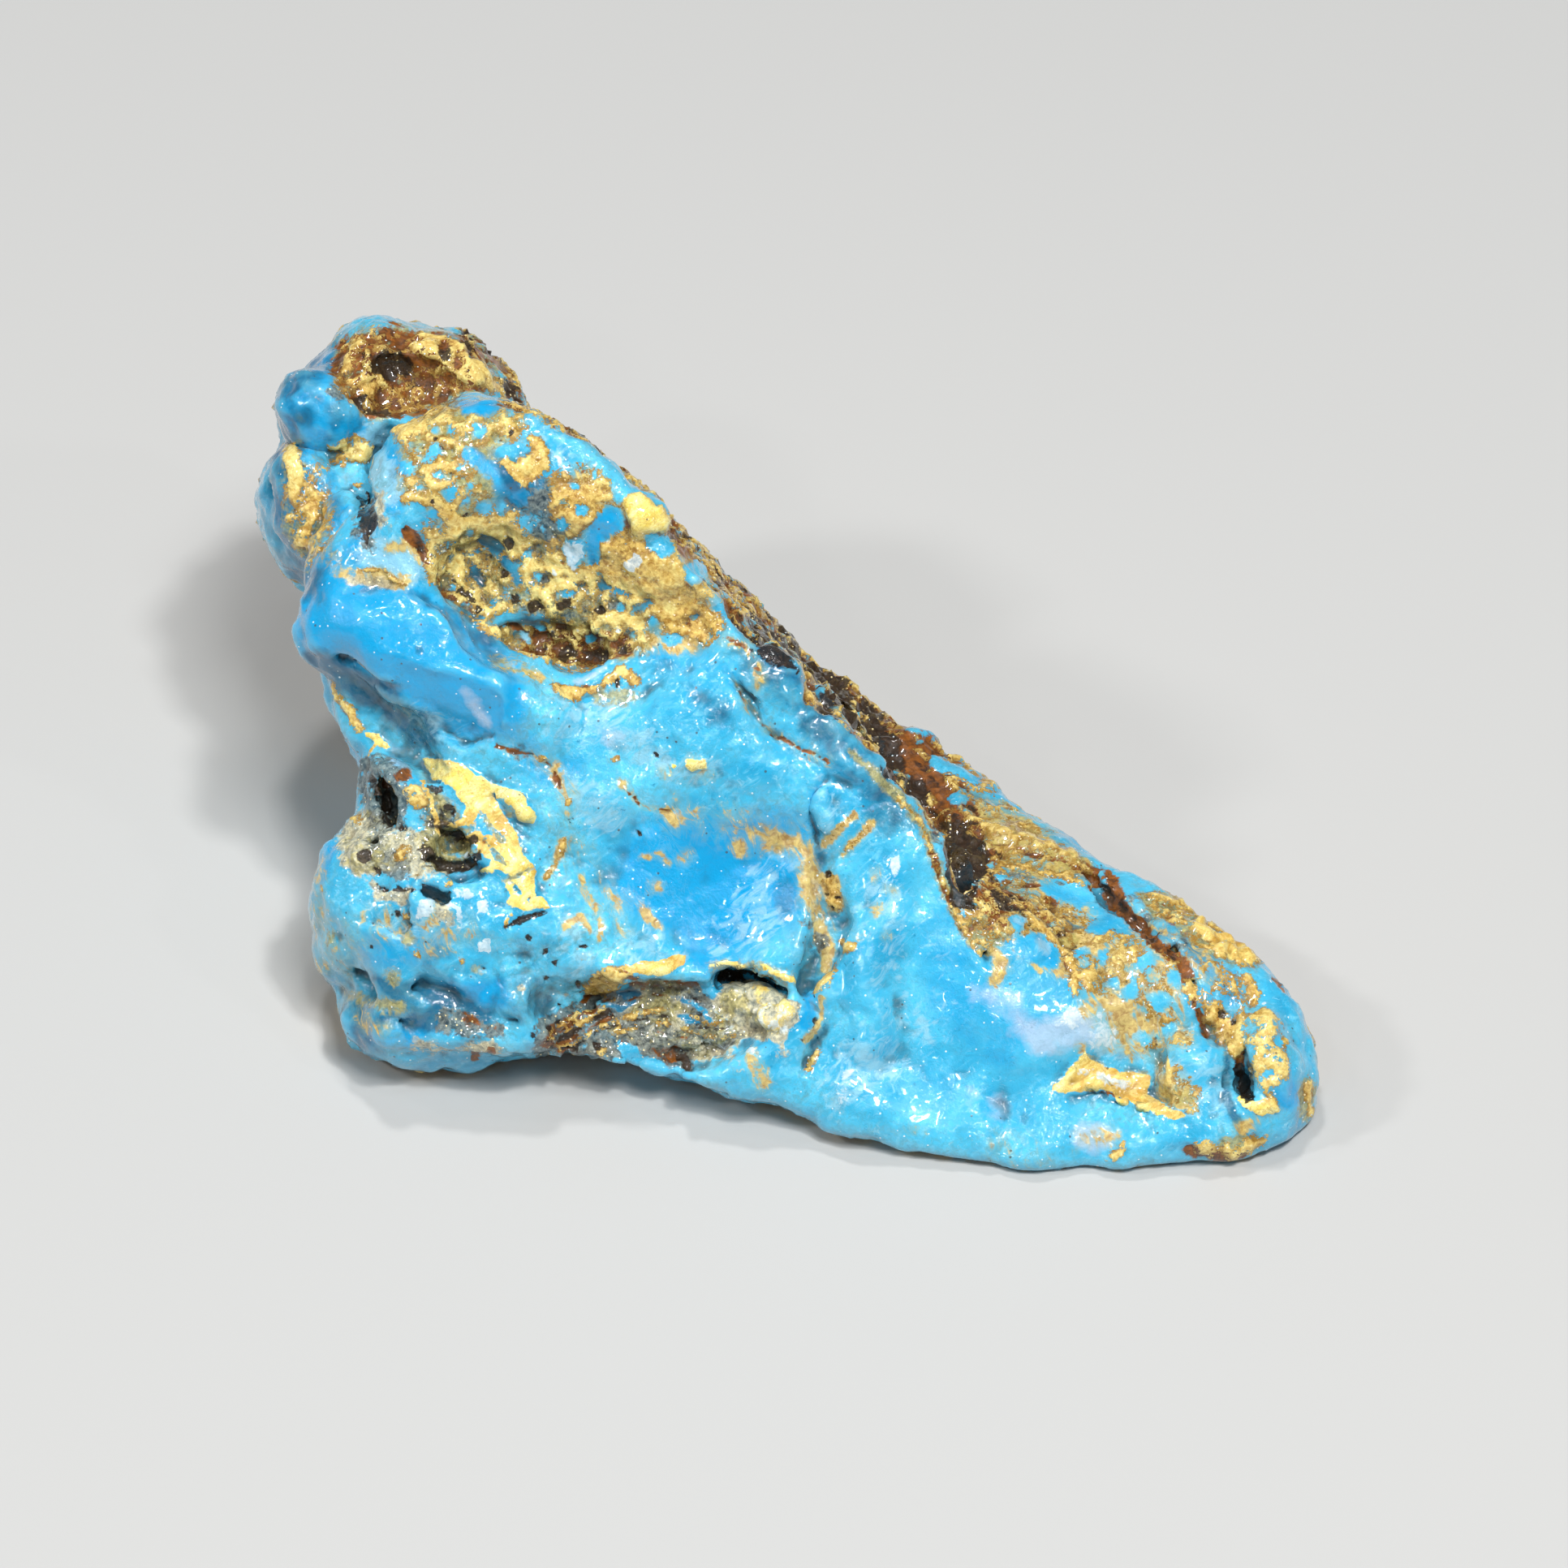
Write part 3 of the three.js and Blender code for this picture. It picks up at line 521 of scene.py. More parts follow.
# ---------------------------------------------------------------- what is painted on it
# Each layer is a density from 0 to 1 at every vertex. A stroke or a patch is laid on the surface
# as it is met from the front: a to the right and b up, in millimetres, in the plane of the face.
# The deep blue layer also carries painted shade in places: where the stone turns away from the front, over
# the lower left, along creases, under the rib and beside the flake. The dark layer, besides the stone's own
# dark brown, carries painted shade under the arch's lip, beside the flake, in the crest's hole and over the
# slope behind the crest.
LAYERS = ("azure", "deep", "pale", "lilac", "stain", "dusk", "sand", "olive", "gold", "plate", "bright",
          "rust", "dark", "white", "bare", "calm")
paint = {name: np.zeros(len(face)) for name in LAYERS}
away = EYE[2] / (EYE[2] - face[:, 2])
front = np.stack([EYE[0] + (face[:, 0] - EYE[0]) * away, EYE[1] + (face[:, 1] - EYE[1]) * away], 1)
to_eye = np.array(EYE) - face
to_eye /= np.linalg.norm(to_eye, axis=1)[:, None]
toward = (normals * to_eye).sum(1)   # 1 where the surface faces the camera, and below 0 where it faces away

# The foremost vertex in each cell of the plane of the face
CELL, MAP_SIZE, MAP_START = 0.5, (132, 110), np.array([-33.0, -3.0])
nearest = -np.ones(MAP_SIZE, np.int64)
shown = np.flatnonzero(toward > 0.02)
shown = shown[np.argsort(face[shown, 2])]
where = np.floor((front[shown] - MAP_START) / CELL).astype(int)
nearest[where[:, 0], where[:, 1]] = shown


def depth_at(a, b):
    """How far out the surface is where (a, b) meets it from the front."""
    i, j = np.floor((np.array([a, b]) - MAP_START) / CELL).astype(int)
    for reach in range(6):
        block = nearest[i - reach:i + reach + 1, j - reach:j + reach + 1]
        hits = block[block >= 0]
        if len(hits):
            return face[hits, 2].max()
    return 0.0


STEP = 0.8     # a stroke's line is laid on the surface in steps about this long
DEEP = 0.35    # what a step in depth counts for, against one across, so that strokes run down steep sides
WAVER, TREMBLE = 0.16, 0.10   # how crooked painted edges are, over 1.3 and over 0.6 millimetres
crooked = np.stack([front[:, 0] + WAVER * noise(face, 1.3, 31) + TREMBLE * noise(face, 0.6, 34),
                    front[:, 1] + WAVER * noise(face, 1.3, 32) + TREMBLE * noise(face, 0.6, 35),
                    face[:, 2] * DEEP], 1)
seen_side = toward > -0.12


def lay(near, inside, soft, layers):
    """Adds layers where inside, a distance in millimetres, is positive. A negative strength takes away."""
    f = np.clip((inside + soft) / (2 * soft), 0, 1)
    f = f * f * (3 - 2 * f)
    for layer, s in layers.items():
        old = paint[layer][near]
        paint[layer][near] = old * (1 + s * f) if s < 0 else old + (1 - old) * s * f


def vertices_between(low, high):
    return np.flatnonzero(((crooked > low) & (crooked < high)).all(1) & seen_side)


def stroke(radius, soft, *points, **layers):
    """Lays each layer along a line, or on one point, at the strength that is given for it."""
    line = list(points[:1])
    for (a0, b0), (a, b) in zip(points[:-1], points[1:]):
        n = max(1, int(math.hypot(a - a0, b - b0) / STEP))
        line += [(a0 + (a - a0) * t / n, b0 + (b - b0) * t / n) for t in range(1, n + 1)]
    path = np.array([(a, b, depth_at(a, b) * DEEP) for a, b in line])
    reach = radius + soft + 0.4
    near = vertices_between(path.min(0) - reach, path.max(0) + reach)
    least = np.full(len(near), np.inf)
    for start, end in zip(path, [*path[1:], path[-1]]):
        least = np.minimum(least, along_line(crooked[near], start, end - start)[0])
    lay(near, radius - least, soft, layers)


def spots(radius, soft, *points, **layers):
    for point in points:
        stroke(radius, soft, point, **layers)


def patch(soft, *outline, reach=7.0, **layers):
    """Lays each layer inside a closed outline, on what is at most reach behind the front of it."""
    corner = np.array(outline, float)
    depth = max(depth_at(a, b) for a, b in outline)
    low, high = corner.min(0) - soft - 0.3, corner.max(0) + soft + 0.3
    near = vertices_between([*low, (depth - reach) * DEEP], [*high, (depth + 2) * DEEP])
    q = crooked[near, :2]
    least, inside = np.full(len(near), np.inf), np.zeros(len(near), bool)
    for p0, p1 in zip(corner, np.roll(corner, -1, 0)):
        d = p1 - p0
        least = np.minimum(least, along_line(q, p0, d)[0])
        spans = (p0[1] > q[:, 1]) != (p1[1] > q[:, 1])
        cross = p0[0] + (q[:, 1] - p0[1]) / (d[1] if d[1] else 1e-9) * d[0]
        inside ^= spans & (q[:, 0] < cross)
    lay(near, np.where(inside, least, -least), soft, layers)


# ---------------------------------------------------------------- the paint, area by area
# stroke and spots take a radius, the softness of the edge and the points, and patch takes the softness
# and the outline. Each layer that they lay follows with its strength.
def paint_back_lobe():
    top = [(-25.6, 46.5), (-23.1, 47.2), (-20.0, 47.1), (-18.4, 46.6), (-17.3, 45.3), (-16.5, 43.9),
           (-18.4, 43.4), (-20.4, 42.6), (-22.3, 42.2), (-23.7, 42.0), (-25.0, 43.4), (-26.2, 44.5)]
    patch(0.7, *top, rust=0.85, olive=0.85, gold=0.33, reach=18)
    stroke(0.5, 0.5, (-20.6, 46.4), (-19.4, 46.4), (-18.4, 45.6), (-17.4, 44.4), (-16.2, 43.9), gold=0.7)
    stroke(0.3, 0.4, (-24.6, 46.0), (-24.9, 44.9), (-24.4, 43.6), (-23.2, 43.9), gold=0.7)
    stroke(0.9, 0.9, (-22.8, 45.4), (-22.2, 44.9), dark=0.9)
    stroke(0.4, 0.5, (-19.4, 45.7), dark=0.8)
    stroke(0.4, 0.4, (-24.2, 43.1), (-22.6, 42.7), dark=0.8)
    stroke(0.8, 0.7, (-21.8, 47.2), (-20.2, 47.1), pale=0.7)
    stroke(0.6, 0.6, (-27.0, 44.0), (-25.4, 43.5), dusk=0.6)
    stroke(1.3, 0.9, (-26.4, 45.6), (-26.8, 42.4), (-24.8, 41.6), azure=0.9)
    stroke(0.8, 0.4, (-26.8, 45.4), (-26.9, 44.2), bare=1)
    stroke(0.9, 0.6, (-26.4, 45.8), (-27.0, 44.2), deep=0.5)
    # painted shade down the lobe's left side, where it turns away
    stroke(1.6, 1.2, (-26.6, 46.6), (-28.6, 43.4), (-28.4, 40.6), deep=0.6)
    stroke(1.2, 1.0, (-26.0, 38.6), (-26.0, 36.0), deep=0.4)
    stroke(0.5, 0.5, (-25.4, 43.0), (-25.7, 41.2), deep=0.7)
    # painted shade down the lobe's far left side, where it turns away
    stroke(1.4, 1.0, (-28.8, 41.0), (-28.8, 37.0), (-27.4, 33.0), deep=0.7)
    stroke(1.6, 1.2, (-27.2, 44.0), (-28.0, 41.0), (-27.0, 33.6), azure=0.8)
    spots(0.2, 0.2, (-26.3, 37.0), (-26.6, 34.6), (-28.2, 36.6), (-27.6, 42.2), gold=0.8)
    flake = [(-28.4, 40.6), (-27.8, 40.8), (-27.5, 39.3), (-27.3, 38.3), (-27.9, 37.6), (-28.4, 39.1)]
    patch(0.2, *flake, gold=1)
    patch(0.3, *flake, bright=0.8)
    patch(0.8, (-29.4, 40.0), (-26.0, 40.4), (-25.6, 34.0), (-28.4, 33.4), olive=0.5)
    patch(0.8, (-28.6, 38.2), (-26.2, 39.6), (-25.8, 34.6), (-27.8, 33.6), gold=0.44)
    stroke(0.3, 0.3, (-27.0, 37.4), (-26.9, 36.2), (-27.5, 35.2), gold=0.9)
    stroke(0.6, 0.5, (-26.3, 38.8), (-26.1, 36.2), azure=0.8)


def paint_crevice():
    patch(0.3, (-25.9, 40.6), (-24.6, 41.2), (-23.4, 40.6), (-23.6, 39.7), (-25.6, 39.6), gold=0.75)
    stroke(0.6, 0.4, (-25.0, 40.5), (-24.0, 40.3), bright=0.9)
    stroke(0.4, 0.4, (-24.6, 40.9), (-23.6, 40.9), pale=0.7)
    patch(0.3, (-25.3, 39.7), (-23.8, 39.8), (-23.5, 37.8), (-24.6, 38.0), rust=0.95)
    patch(0.25, (-24.3, 38.5), (-23.5, 38.6), (-23.2, 36.2), (-23.8, 34.8), (-24.3, 35.2), dark=0.85)
    spots(0.16, 0.12, (-25.2, 39.4), (-24.4, 38.2), (-23.9, 37.0), (-24.6, 36.4), gold=1)
    stroke(0.9, 0.5, (-25.4, 36.6), azure=1)
    stroke(0.5, 0.4, (-23.2, 37.6), (-22.8, 36.4), sand=0.8)
    stroke(0.5, 0.4, (-24.2, 35.6), (-23.6, 34.8), dusk=0.8)


def paint_shoulder():
    """Lace over the whole cap, thicker along its top and foot."""
    cap = [(-22.4, 42.0), (-20.0, 42.9), (-16.8, 42.4), (-14.6, 42.6), (-15.2, 40.9), (-17.0, 38.8),
           (-16.4, 36.4), (-18.4, 36.0), (-21.8, 37.2), (-22.0, 40.2)]
    patch(0.6, *cap, olive=0.62)
    patch(0.8, *cap, stain=0.6)
    patch(0.6, *cap, gold=0.34)
    patch(0.4, (-20.9, 42.2), (-19.6, 43.0), (-18.3, 42.0), (-16.6, 42.8), (-15.0, 42.8), (-14.6, 41.8),
          (-14.9, 41.0), (-17.2, 40.8), (-18.4, 40.1), (-20.8, 40.9), gold=0.3)
    patch(0.2, (-23.0, 41.2), (-22.6, 42.3), (-21.0, 42.0), (-21.3, 41.2), gold=1)
    patch(0.4, (-21.1, 40.8), (-19.0, 40.7), (-19.3, 39.9), (-20.7, 40.1), olive=0.9)
    patch(0.3, (-18.8, 38.6), (-17.6, 38.9), (-16.6, 38.5), (-16.7, 37.9), (-18.5, 38.0), olive=0.9)
    for line in ([(-20.9, 42.1), (-20.7, 41.5), (-21.1, 41.0), (-21.9, 41.0)],
                 [(-20.6, 39.2), (-19.6, 39.6), (-18.9, 39.4)],
                 [(-21.2, 38.4), (-20.5, 38.6), (-19.2, 38.4), (-18.7, 38.8)],
                 [(-21.6, 37.6), (-20.4, 37.4), (-18.6, 37.4)]):
        stroke(0.22, 0.2, *line, gold=0.9)
    stroke(0.34, 0.25, (-19.4, 37.0), (-18.6, 36.2), (-17.0, 36.1), (-15.6, 36.6), gold=0.9)
    stroke(0.3, 0.25, (-16.4, 35.9), (-15.4, 35.8), (-14.8, 35.0), gold=1)
    stroke(1.0, 0.8, (-21.4, 41.8), (-18.6, 41.8), (-16.4, 41.8), bright=0.5)
    stroke(0.8, 0.7, (-21.0, 38.6), (-18.4, 37.4), (-15.8, 36.5), bright=0.4)


def paint_shoulder_nodule():
    """The big nodule on the shoulder's right and the clean blue round it."""
    stroke(0.36, 0.2, (-14.4, 40.9), (-13.8, 40.2), (-13.8, 39.4), (-15.0, 38.6), (-15.9, 39.6), gold=1)
    stroke(0.7, 0.3, (-14.7, 39.5), gold=1)
    stroke(0.5, 0.3, (-14.7, 39.5), bright=0.8)
    stroke(0.45, 0.25, (-17.9, 40.0), (-16.6, 39.2), (-15.2, 37.7), bare=1)
    stroke(0.26, 0.2, (-16.2, 40.2), (-15.2, 40.5), bare=1)
    stroke(0.7, 0.4, (-17.9, 40.0), (-16.6, 39.2), (-15.2, 37.7), azure=0.8)
    stroke(0.4, 0.4, (-17.4, 40.7), (-16.2, 39.6), (-15.6, 38.4), deep=0.8)
    patch(0.2, (-18.7, 43.6), (-15.8, 43.6), (-16.6, 42.9), (-17.4, 42.1), (-18.4, 42.4), bare=1)
    stroke(0.8, 0.4, (-18.2, 42.9), (-17.2, 42.7), azure=0.9)
    spots(0.25, 0.15, (-20.0, 41.4), (-22.4, 36.6), (-18.2, 37.5), (-19.8, 38.95), (-20.0, 36.8),
          (-21.6, 42.4), bare=1)
    spots(0.4, 0.25, (-20.0, 40.3), (-17.4, 41.4), (-21.5, 39.2), (-19.0, 37.9), (-21.0, 37.0),
          (-17.3, 37.0), bare=1)
    spots(0.18, 0.15, (-19.0, 41.5), (-20.8, 38.2), (-18.6, 39.3), (-17.9, 38.3), (-20.4, 39.8), bare=1)
    spots(0.15, 0.15, (-20.0, 41.0), (-21.5, 41.0), (-19.6, 40.5), (-15.7, 41.3), (-20.0, 37.4),
          (-18.2, 36.6), dark=1)
    stroke(0.5, 0.4, (-22.3, 40.2), (-21.9, 38.6), (-22.2, 37.0), azure=0.8)
    stroke(0.8, 0.5, (-23.3, 41.4), (-23.2, 39.6), (-22.7, 38.0), pale=0.9)
    stroke(0.7, 0.6, (-14.2, 42.4), (-13.0, 41.0), (-12.8, 40.0), pale=0.5)
    stroke(0.2, 0.2, (-13.0, 39.9), (-12.8, 39.3), white=0.9)
    stroke(1.3, 0.8, (-14.6, 37.4), (-13.4, 36.2), (-12.8, 35.4), dusk=0.75)
    stroke(1.0, 0.6, (-14.6, 37.6), (-13.8, 37.9), deep=0.6)


def paint_pit():
    """What fills the pit: dusky grains with ochre over the most of them."""
    whole = [(-20.8, 36.0), (-17.6, 36.4), (-14.6, 35.6), (-11.6, 33.8), (-7.8, 32.4), (-7.6, 29.0),
             (-12.0, 27.6), (-16.6, 29.6), (-20.4, 32.8)]
    patch(0.7, *whole, dusk=0.6, olive=0.5)
    patch(0.6, *whole, gold=0.6, dark=0.16)
    patch(0.6, (-20.4, 35.4), (-17.6, 36.2), (-14.6, 35.2), (-13.4, 33.6), (-16.0, 33.0), (-19.8, 33.4),
          gold=0.3)
    stroke(0.8, 0.6, (-17.4, 34.0), (-16.0, 33.2), (-14.6, 31.8), gold=-0.5)
    stroke(0.8, 0.6, (-12.4, 31.0), (-9.8, 32.0), (-8.4, 31.9), gold=-0.5)
    patch(0.8, *whole, bright=0.75)
    for line in ([(-17.8, 33.6), (-17.4, 32.6)], [(-16.0, 34.2), (-15.2, 32.8)],
                 [(-14.8, 30.9), (-13.6, 30.9)], [(-10.4, 32.6), (-9.0, 32.2)],
                 [(-8.6, 31.4), (-7.8, 31.6)], [(-18.6, 31.4), (-17.4, 30.9)]):
        stroke(0.24, 0.2, *line, bare=0.9)
        stroke(0.5, 0.3, *line, deep=0.55)


def paint_net():
    """The net of crust on the pit's right."""
    net = [(-13.4, 38.6), (-11.8, 39.6), (-9.8, 38.9), (-8.4, 37.2), (-6.6, 35.9), (-4.8, 33.4),
           (-3.6, 30.6), (-5.0, 29.2), (-8.6, 30.6), (-11.8, 32.6), (-13.4, 34.4), (-13.0, 36.4)]
    patch(0.6, *net, stain=0.8, gold=0.42, rust=0.34)
    patch(0.4, (-10.0, 35.1), (-8.3, 35.4), (-6.6, 34.3), (-4.6, 31.6), (-3.5, 30.2), (-4.4, 29.3),
          (-6.6, 30.0), (-8.2, 31.0), (-10.0, 32.4), (-12.0, 33.1), (-11.4, 33.9), gold=0.8)
    patch(0.4, (-13.4, 38.2), (-11.4, 39.4), (-9.6, 38.6), (-10.4, 37.0), (-12.4, 35.6), (-13.6, 37.0),
          gold=0.58)
    nodule = [(-9.2, 37.6), (-8.6, 37.9), (-7.2, 37.1), (-6.8, 36.3), (-6.9, 35.7), (-8.4, 35.7),
              (-9.1, 36.6)]
    patch(0.2, *nodule, gold=1)
    patch(0.3, *nodule, plate=0.9, bright=0.7)
    stroke(0.35, 0.2, (-12.2, 35.8), (-11.5, 37.0), (-10.4, 36.6), gold=1)


def paint_islands():
    """Clean blue islands in the net."""
    island = [(-11.3, 36.2), (-10.1, 37.2), (-9.5, 37.1), (-9.1, 35.9), (-10.5, 35.1), (-10.5, 34.0),
              (-11.1, 33.9), (-11.4, 34.5)]
    patch(0.15, *island, bare=1)
    patch(0.4, *island, azure=0.9)
    patch(0.15, (-8.2, 35.2), (-7.6, 35.6), (-6.7, 35.4), (-6.5, 34.7), (-7.2, 34.1), (-7.9, 34.7),
          bare=1)
    patch(0.15, (-6.0, 33.6), (-5.2, 34.1), (-4.5, 33.6), (-4.8, 33.0), (-5.4, 32.6), (-5.8, 33.0),
          bare=1)
    patch(0.2, (-10.9, 39.8), (-9.4, 39.6), (-8.2, 37.8), (-9.6, 37.3), (-10.1, 38.6), bare=1)
    spots(0.4, 0.2, (-11.6, 37.0), (-5.2, 33.5), (-12.8, 36.2), (-6.4, 29.6), bare=1)
    spots(0.24, 0.15, (-11.9, 38.2), (-10.9, 38.9), (-12.2, 40.0), (-17.6, 34.6), (-5.1, 30.9), bare=1)
    stroke(0.45, 0.2, (-17.1, 35.3), (-16.5, 34.8), bare=1)
    stroke(0.5, 0.3, (-17.1, 35.3), (-16.5, 34.8), deep=0.5)
    chip = [(-12.8, 34.8), (-12.4, 35.3), (-11.5, 35.3), (-11.5, 34.5), (-12.1, 33.4)]
    patch(0.15, *chip, bare=1)
    patch(0.3, *chip, white=0.7)
    patch(0.12, (-9.1, 34.0), (-8.6, 34.6), (-8.1, 34.1), (-8.7, 33.6), white=1)


def paint_nodules():
    """Nodules and white crystals in the pit, from left to right."""
    spots(0.45, 0.25, (-18.9, 33.8), (-13.2, 33.9), (-12.9, 32.8), (-13.95, 32.1), (-8.6, 30.5),
          (-9.9, 30.8), (-6.7, 30.8), gold=1)
    spots(0.4, 0.3, (-18.4, 34.2), (-13.2, 33.9), (-13.95, 32.1), (-8.6, 30.5), (-9.9, 30.8),
          (-6.6, 31.4), bright=0.9)
    spots(0.13, 0.12, (-13.05, 33.45), (-12.2, 31.45), (-17.0, 33.4), (-19.6, 32.5), (-15.6, 32.5),
          (-13.3, 30.1), (-11.8, 30.1), (-9.6, 30.1), (-10.0, 33.7), (-19.5, 34.6), white=1)


def paint_pit_hollows():
    """Hollows and dusky crystals between the nodules."""
    spots(0.32, 0.25, (-14.2, 31.4), (-15.4, 31.9), (-10.4, 31.3), (-17.6, 33.0), (-15.9, 33.5),
          (-15.8, 35.1), (-12.6, 31.6), dark=0.85)
    stroke(0.6, 0.3, (-11.5, 31.8), (-11.0, 30.9), sand=0.9)
    spots(0.26, 0.18, (-19.2, 35.2), (-18.0, 35.8), (-14.6, 34.6), (-14.0, 33.2), (-12.4, 32.2),
          (-16.6, 31.6), (-19.0, 32.6), (-9.4, 31.4), (-7.6, 30.6), (-11.2, 29.6), bare=0.95)
    stroke(0.6, 0.3, (-12.2, 30.9), (-11.0, 30.8), (-9.6, 32.2), (-7.9, 31.9), dusk=1)
    stroke(0.4, 0.3, (-17.2, 33.8), (-16.6, 32.6), deep=1)


def paint_pit_floor():
    """Brown cells on the pit's floor, the brown edge down its left, and the strata under it."""
    patch(0.4, (-15.8, 30.6), (-13.0, 30.4), (-8.2, 29.8), (-8.6, 28.6), (-11.4, 27.9), (-14.6, 28.4),
          rust=0.8)
    patch(0.4, (-15.6, 30.2), (-13.0, 29.9), (-8.2, 29.3), (-8.6, 28.4), (-11.4, 27.9), (-14.6, 28.4),
          gold=-0.35)
    spots(0.3, 0.2, (-13.7, 29.1), (-12.4, 28.8), (-10.6, 28.8), (-9.3, 29.0), dark=0.7)
    stroke(0.28, 0.3, (-21.6, 35.9), (-20.8, 35.0), (-20.3, 33.8), (-20.0, 33.0), rust=1)
    stroke(0.5, 0.4, (-19.2, 32.2), (-17.6, 31.2), (-16.2, 30.6), rust=0.55)
    for shift, layer in ((0.0, "sand"), (0.45, "dark"), (0.8, "gold"), (-0.45, "rust"), (1.15, "sand")):
        stroke(0.12, 0.15, (-19.5 + shift, 32.9), (-18.8 + shift, 32.1), (-17.6 + shift, 30.9),
               **{layer: 0.9})


def paint_pit_foot():
    """Blue rolls at the pit's foot, and bright crust beyond them."""
    stroke(0.26, 0.15, (-16.2, 30.6), (-15.8, 30.9), (-15.0, 30.8), (-13.9, 30.2), bare=1)
    stroke(0.22, 0.15, (-15.0, 30.0), (-14.6, 29.4), (-14.2, 28.8), bare=1)
    stroke(0.2, 0.2, (-15.0, 30.0), (-14.6, 29.4), (-14.2, 28.8), pale=1)
    stroke(0.6, 0.5, (-16.4, 28.9), (-17.0, 29.4), deep=0.7)
    stroke(0.6, 0.5, (-16.4, 28.4), (-14.6, 27.8), olive=0.6)
    stroke(0.3, 0.3, (-16.0, 28.0), (-14.5, 27.6), (-12.8, 27.5), stain=0.8)
    stroke(0.28, 0.15, (-14.0, 28.1), (-12.7, 27.2), (-11.3, 27.4), (-10.1, 28.0), bare=1)
    stroke(0.2, 0.2, (-12.0, 27.1), (-11.3, 27.4), (-10.4, 27.9), lilac=0.9)
    patch(0.2, (-13.3, 27.0), (-13.0, 26.2), (-11.7, 26.1), (-10.5, 26.9), (-12.0, 26.9), gold=1)
    stroke(0.2, 0.2, (-13.2, 26.9), (-12.6, 26.6), (-11.4, 26.9), rust=0.8)
    stroke(0.25, 0.2, (-10.1, 27.1), (-9.4, 27.9), (-8.6, 27.2), gold=1)
    spots(0.4, 0.3, (-12.6, 26.3), (-9.4, 27.7), bright=0.9)
    stroke(0.16, 0.15, (-9.5, 27.3), (-9.6, 26.9), dark=1)
    stroke(0.6, 0.5, (-10.6, 26.6), (-9.0, 26.4), olive=0.7)
    stroke(0.5, 0.5, (-10.0, 28.7), (-8.2, 29.6), (-5.4, 29.1), stain=0.8)
    stroke(0.5, 0.4, (-4.8, 32.8), (-4.1, 31.8), pale=0.9)


def paint_rib():
    stroke(3.0, 1.2, (-25.4, 31.0), (-21.6, 29.6), (-17.6, 27.0), azure=1)
    stroke(0.8, 0.6, (-25.6, 32.2), (-22.8, 31.4), (-20.4, 30.4), (-18.0, 29.0), azure=1)
    patch(0.4, (-21.7, 32.6), (-19.4, 31.5), (-17.2, 30.5), (-17.2, 29.0), (-18.6, 29.9), (-21.6, 32.0),
          deep=0.6)
    # the pale cap over it, with golden bands
    stroke(1.2, 0.7, (-23.4, 34.6), (-21.8, 33.8), pale=0.85)
    stroke(0.5, 0.4, (-25.2, 33.3), (-23.0, 33.2), (-21.8, 32.6), stain=0.7)
    stroke(0.3, 0.3, (-24.8, 33.0), (-22.6, 32.7), sand=0.8)
    stroke(0.12, 0.15, (-24.0, 33.6), (-22.8, 33.5), (-21.8, 32.6), gold=1)
    stroke(0.3, 0.4, (-22.6, 34.8), (-21.4, 35.2), (-20.8, 34.2), stain=0.9)
    stroke(0.6, 0.5, (-23.4, 36.2), (-24.6, 34.6), azure=0.8)
    # its shaded underside, and the gold strand down the edge
    stroke(0.9, 0.5, (-26.6, 28.2), (-24.6, 27.2), (-23.0, 26.4), (-21.6, 25.4), (-20.6, 24.6), deep=0.9)
    stroke(0.22, 0.2, (-25.9, 27.2), (-25.3, 26.2), (-24.6, 25.4), (-24.2, 24.6), gold=0.95)
    stroke(0.3, 0.3, (-25.6, 26.6), (-24.8, 25.6), bright=0.9)
    spots(0.24, 0.3, (-22.4, 30.7), (-18.1, 29.3), (-20.8, 29.0), deep=0.6)
    stroke(0.3, 0.4, (-18.4, 26.6), (-17.6, 25.8), (-16.9, 24.8), lilac=0.7)


def paint_left_flank():
    # painted shade under the rib
    stroke(0.9, 0.7, (-22.0, 25.2), (-20.4, 24.0), deep=0.7)
    stroke(0.8, 0.7, (-20.6, 25.2), (-18.8, 24.4), pale=0.5)
    bit = [(-24.1, 24.4), (-23.0, 24.3), (-22.5, 23.6), (-22.6, 23.2), (-23.4, 23.6)]
    patch(0.15, *bit, plate=1)
    patch(0.2, *bit, bright=1)
    stroke(0.12, 0.12, (-23.3, 23.6), (-23.6, 22.9), plate=1)
    patch(0.4, (-24.2, 23.0), (-22.6, 22.9), (-21.4, 21.4), (-21.6, 18.8), (-23.4, 18.6), (-24.2, 20.6),
          dusk=0.8)
    stroke(0.6, 0.4, (-22.2, 22.8), (-21.8, 22.4), lilac=0.7)
    stroke(0.35, 0.3, (-23.7, 21.8), (-23.1, 20.7), dark=0.85)
    stroke(0.5, 0.5, (-22.8, 20.8), (-22.7, 19.2), dark=0.6)
    stroke(0.3, 0.3, (-22.1, 19.4), (-21.8, 18.9), dark=0.7)
    for shift in (0.0, 0.4, 0.8):
        stroke(0.08, 0.15, (-23.3 + shift, 20.9), (-22.9 + shift, 19.0), sand=0.8)
    stroke(0.4, 0.3, (-22.8, 21.4), (-21.7, 21.9), rust=0.95)
    stroke(0.2, 0.2, (-22.5, 20.9), (-22.3, 19.4), rust=0.6)
    stroke(0.3, 0.2, (-21.4, 20.8), (-21.0, 20.2), (-20.6, 20.6), (-21.0, 21.0), gold=0.7)
    hollow = [(-20.6, 21.4), (-18.8, 20.4), (-17.6, 18.6), (-17.6, 16.6), (-20.4, 16.4), (-20.8, 18.6)]
    patch(0.4, *hollow, dusk=0.7, olive=0.6, dark=0.3)


